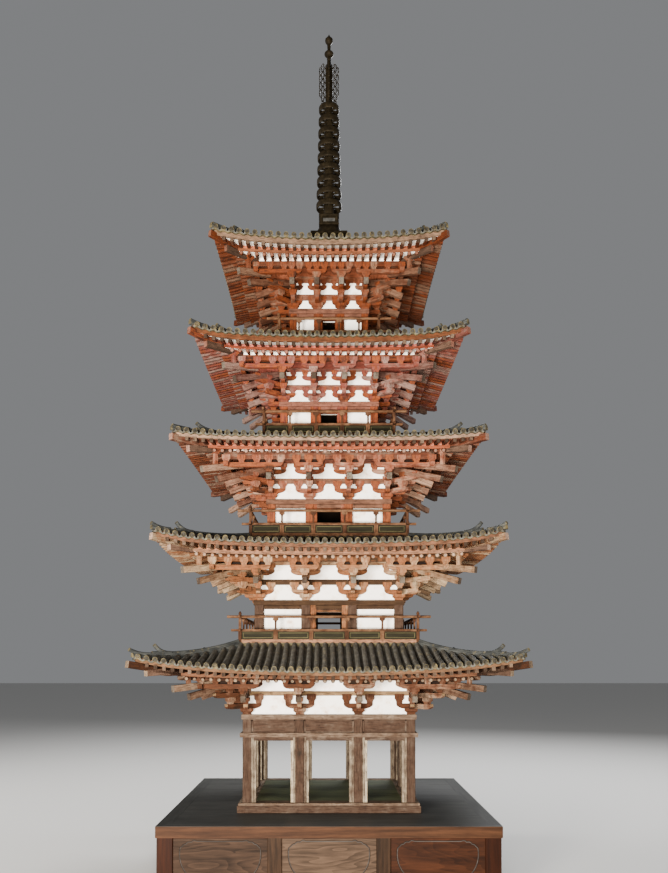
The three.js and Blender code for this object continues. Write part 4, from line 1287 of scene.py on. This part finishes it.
SHADED_RAFTER_STOPS = (0.36, 0.45, 0.54, 0.62, 0.74)
TAIL_STOPS = (0.34, 0.52, 0.68)


def paint_storey(storey, paints):
    """The painted woods of one storey."""
    timber = paints["timber"]
    bare, faded = np.array(timber[:2])
    worn = [tuple(map(float, colour)) for colour in (bare * 0.95, (bare + faded) * 0.33, faded * 0.36)]
    # The rafters' paint is the timber's paint darkened by the storey's factor: painted shade
    rafters = [scaled(colour, paints["rafters"]) for colour in timber]
    painted_wood(storey.name("timber"), list(zip(TIMBER_STOPS, timber)))
    painted_wood(storey.name("rafters"), list(zip(SHADED_RAFTER_STOPS, rafters)))
    painted_wood(storey.name("tails"), list(zip(TAIL_STOPS, worn)))
    # The ceiling paint is made paler than the lower eave beam's paint: painted light on undersides in
    # shade
    for use in ("plate", "ends", "beam", "lower", "ceiling"):
        mid = paints[use]
        stops = [(0.32, scaled(mid, 1.5)), (0.5, mid), (0.72, scaled(mid, 0.45))]
        painted_wood(storey.name(use), stops, 0.2)


def make_materials():
    """All materials that the pieces name."""
    for storey, paints in zip(STOREYS, PAINTS):
        paint_storey(storey, paints)
    painted_wood("old_timber", [(0.3, (0.095, 0.07, 0.052)), (0.46, (0.05, 0.031, 0.021)),
                                (0.58, (0.04, 0.022, 0.014)), (0.74, (0.016, 0.011, 0.008))], 0.24)
    painted_wood("pale_timber", [(0.32, (0.24, 0.18, 0.13)), (0.5, (0.12, 0.082, 0.056)),
                                 (0.72, (0.055, 0.032, 0.02))], 0.24)
    painted_wood("bleached_timber", [(0.4, (0.42, 0.36, 0.26)), (0.66, (0.2, 0.14, 0.09))], 0.1)
    painted_wood("worn_jamb", [(0.34, (0.29, 0.235, 0.165)), (0.48, (0.15, 0.115, 0.08)),
                               (0.66, (0.055, 0.036, 0.024))], 0.2)
    painted_wood("grey_end", [(0.34, (0.1, 0.082, 0.062)), (0.5, (0.058, 0.043, 0.031)),
                              (0.66, (0.03, 0.02, 0.014))])
    painted_wood("rail_timber", [(0.32, (0.12, 0.06, 0.03)), (0.5, (0.05, 0.021, 0.01)),
                                 (0.7, (0.024, 0.01, 0.005))], 0.26)
    painted_wood("flying_ends", [(0.32, (0.1, 0.065, 0.042)), (0.5, (0.042, 0.026, 0.017)),
                                 (0.68, (0.018, 0.011, 0.007))])
    painted_wood("dark_timber", [(0.34, (0.08, 0.045, 0.03)), (0.6, (0.035, 0.02, 0.013))])
    # Near-black paint that is painted shade, behind the purlin blocks and inside the walls
    painted_wood("painted_shade_black", [(0.4, (0.012, 0.007, 0.004)), (0.6, (0.006, 0.003, 0.002))])
    chalk_white()
    tile_wood("dark_tiles", (0.056, 0.052, 0.043), (0.1, 0.098, 0.087), (0.13, 0.108, 0.062), dark=0.72)
    tile_wood("ridge_tiles", (0.026, 0.0275, 0.0265), (0.052, 0.053, 0.048), (0.085, 0.072, 0.042))
    tile_wood("tile_rims", (0.038, 0.031, 0.017), (0.086, 0.072, 0.037), (0.14, 0.106, 0.044), dust=0.54)
    tile_wood("tile_faces", (0.02, 0.0175, 0.0135), (0.046, 0.04, 0.03), (0.08, 0.061, 0.031))
    plain_wood("olive_panel", (0.0105, 0.009, 0.0046), 0.7)
    plain_wood("yellow_line", (0.06, 0.052, 0.022), 0.7)
    plain_wood("stand_top", (0.039, 0.0385, 0.0355), 0.5, contrast=0.6)
    plain_wood("floor_boards", (0.05, 0.057, 0.027), 0.5, contrast=0.6)
    plain_wood("stand_edge", (0.028, 0.0114, 0.005))
    plain_wood("stand_corner", (0.0125, 0.003, 0.0007))
    plain_wood("stand_posts", (0.019, 0.0094, 0.0045))
    plain_wood("stand_panel_left", (0.0245, 0.0134, 0.008), 0.6, (3, 34, 34), 0.2, 0.16)
    plain_wood("stand_panel_middle", (0.036, 0.0218, 0.0136), 0.6, (3, 34, 34), 0.15, 0.2)
    plain_wood("stand_panel_right", (0.021, 0.0066, 0.0024), worn=0.2, stretch=(3, 34, 34), rings=0.1)
    plain_wood("carved_line", (0.04, 0.037, 0.034), 0.7)
    plain_wood("carved_groove", (0.014, 0.008, 0.005), 0.7)
    bronze("bronze_patina", (0.0135, 0.0098, 0.005))
    bronze("bronze_panel", (0.055, 0.054, 0.05))


def paint_wall_boards():
    """White outside on the boards that the scene keeps from the frame, and near-black inside as painted
    shade in the hollow storeys.
    """
    for name in ["storey1_infill"] + [f"storey{n}_walls" for n in range(2, 6)]:
        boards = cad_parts[name].data
        boards.materials.clear()
        boards.materials.append(MATERIALS["chalk_white"])
        boards.materials.append(MATERIALS["painted_shade_black"])
        for face in boards.polygons:
            # Inward faces get the near-black painted shade
            inward = face.normal.x * face.center.x + face.normal.y * face.center.y < -1e-6
            face.material_index = 1 if inward else 0


def build():
    make_materials()
    add_stand()
    add_first_storey(STOREYS[0])
    for storey, above in zip(STOREYS, STOREYS[1:] + [None]):
        add_brackets(storey)
        add_eaves(storey)
        inner, inner_top = (above.balcony, above.floor) if above else (FINIAL.box_foot, FINIAL_BASE)
        add_roof(storey, inner + 8, inner_top)
        if storey.number > 1:
            add_upper_body(storey)
            add_balcony(storey)
    add_finial()
    paint_wall_boards()


# Camera, floor and light

IMAGE = (668, 873)
FOCAL_PX = 877.6
HORIZON_PX = 656.0
AXIS_PX = 329.0
CAMERA_AWAY = 4.564
CAMERA_UP = 0.738
TILT = math.radians(1.0)
SENSOR = 36.0
CLIP = (0.05, 100)
FLOOR_HALF = 30.0
WARM, COOL, SOFT = (1.0, 0.94, 0.85), (0.97, 0.98, 1.0), (1.0, 0.97, 0.93)


def add_camera():
    """The photo's camera: its lens, place and framing, with shift and a slight tilt."""
    data = bpy.data.cameras.new("camera")
    camera = bpy.data.objects.new("camera", data)
    bpy.context.scene.collection.objects.link(camera)
    data.sensor_width = SENSOR
    data.lens = FOCAL_PX / IMAGE[1] * SENSOR
    data.shift_x = (IMAGE[0] / 2 - AXIS_PX) / IMAGE[1]
    principal = HORIZON_PX - FOCAL_PX * math.tan(TILT)
    data.shift_y = (principal - IMAGE[1] / 2) / IMAGE[1]
    camera.location = (0, -CAMERA_AWAY, STAND_TOP + CAMERA_UP)
    camera.rotation_euler = (math.pi / 2 + TILT, 0, 0)
    data.clip_start, data.clip_end = CLIP
    bpy.context.scene.camera = camera


def direction_angles(direction):
    """Euler angles that turn a light's -Z axis along a direction."""
    x, y, z = direction
    return (math.atan2(math.hypot(x, y), -z), 0, math.atan2(y, x) - math.pi / 2)


def add_area(name, place, target, size, power, colour):
    """A soft light at place, turned towards target."""
    data = bpy.data.lights.new(name, "AREA")
    data.shape = "RECTANGLE"
    data.size, data.size_y = size
    data.energy = power
    data.color = colour
    light = bpy.data.objects.new(name, data)
    bpy.context.scene.collection.objects.link(light)
    light.location = place
    light.visible_camera = False
    light.rotation_euler = direction_angles(np.array(target, float) - np.array(place, float))


def add_studio():
    """Pale floor and even soft light, the front lit from low down as in the photo."""
    mesh = bpy.data.meshes.new("floor")
    mesh.from_pydata([(FLOOR_HALF * x, FLOOR_HALF * y, 0) for x, y in SQUARE], [], [(0, 1, 2, 3)])
    floor = bpy.data.objects.new("floor", mesh)
    bpy.context.scene.collection.objects.link(floor)
    shader = Shader("studio_floor")
    shader.set(Base_Color=(0.6, 0.59, 0.57), Roughness=0.9)
    mesh.materials.append(shader.material)
    world = bpy.data.worlds.new("studio")
    bpy.context.scene.world = world
    world.use_nodes = True
    background = world.node_tree.nodes["Background"]
    background.inputs["Color"].default_value = (0.9, 0.92, 0.95, 1)
    background.inputs["Strength"].default_value = 0.24
    add_area("key", (-1.7, -5.2, 0.8), (0, 0, 4.5), (1.1, 0.9), 1050, WARM)
    add_area("front", (-0.15, -4.7, 0.75), (0, 0, 5.5), (0.8, 0.7), 460, WARM)
    add_area("right", (5.6, 1.4, 3.0), (0, 0, 2.0), (2.4, 2.4), 170, COOL)
    add_area("left", (-5.6, 1.4, 3.2), (0, 0, 2.0), (2.4, 2.4), 260, SOFT)
    add_area("back", (1.6, 4.8, 5.4), (0, 0, 2.0), (2.4, 2.4), 560, COOL)


build()
add_camera()
add_studio()
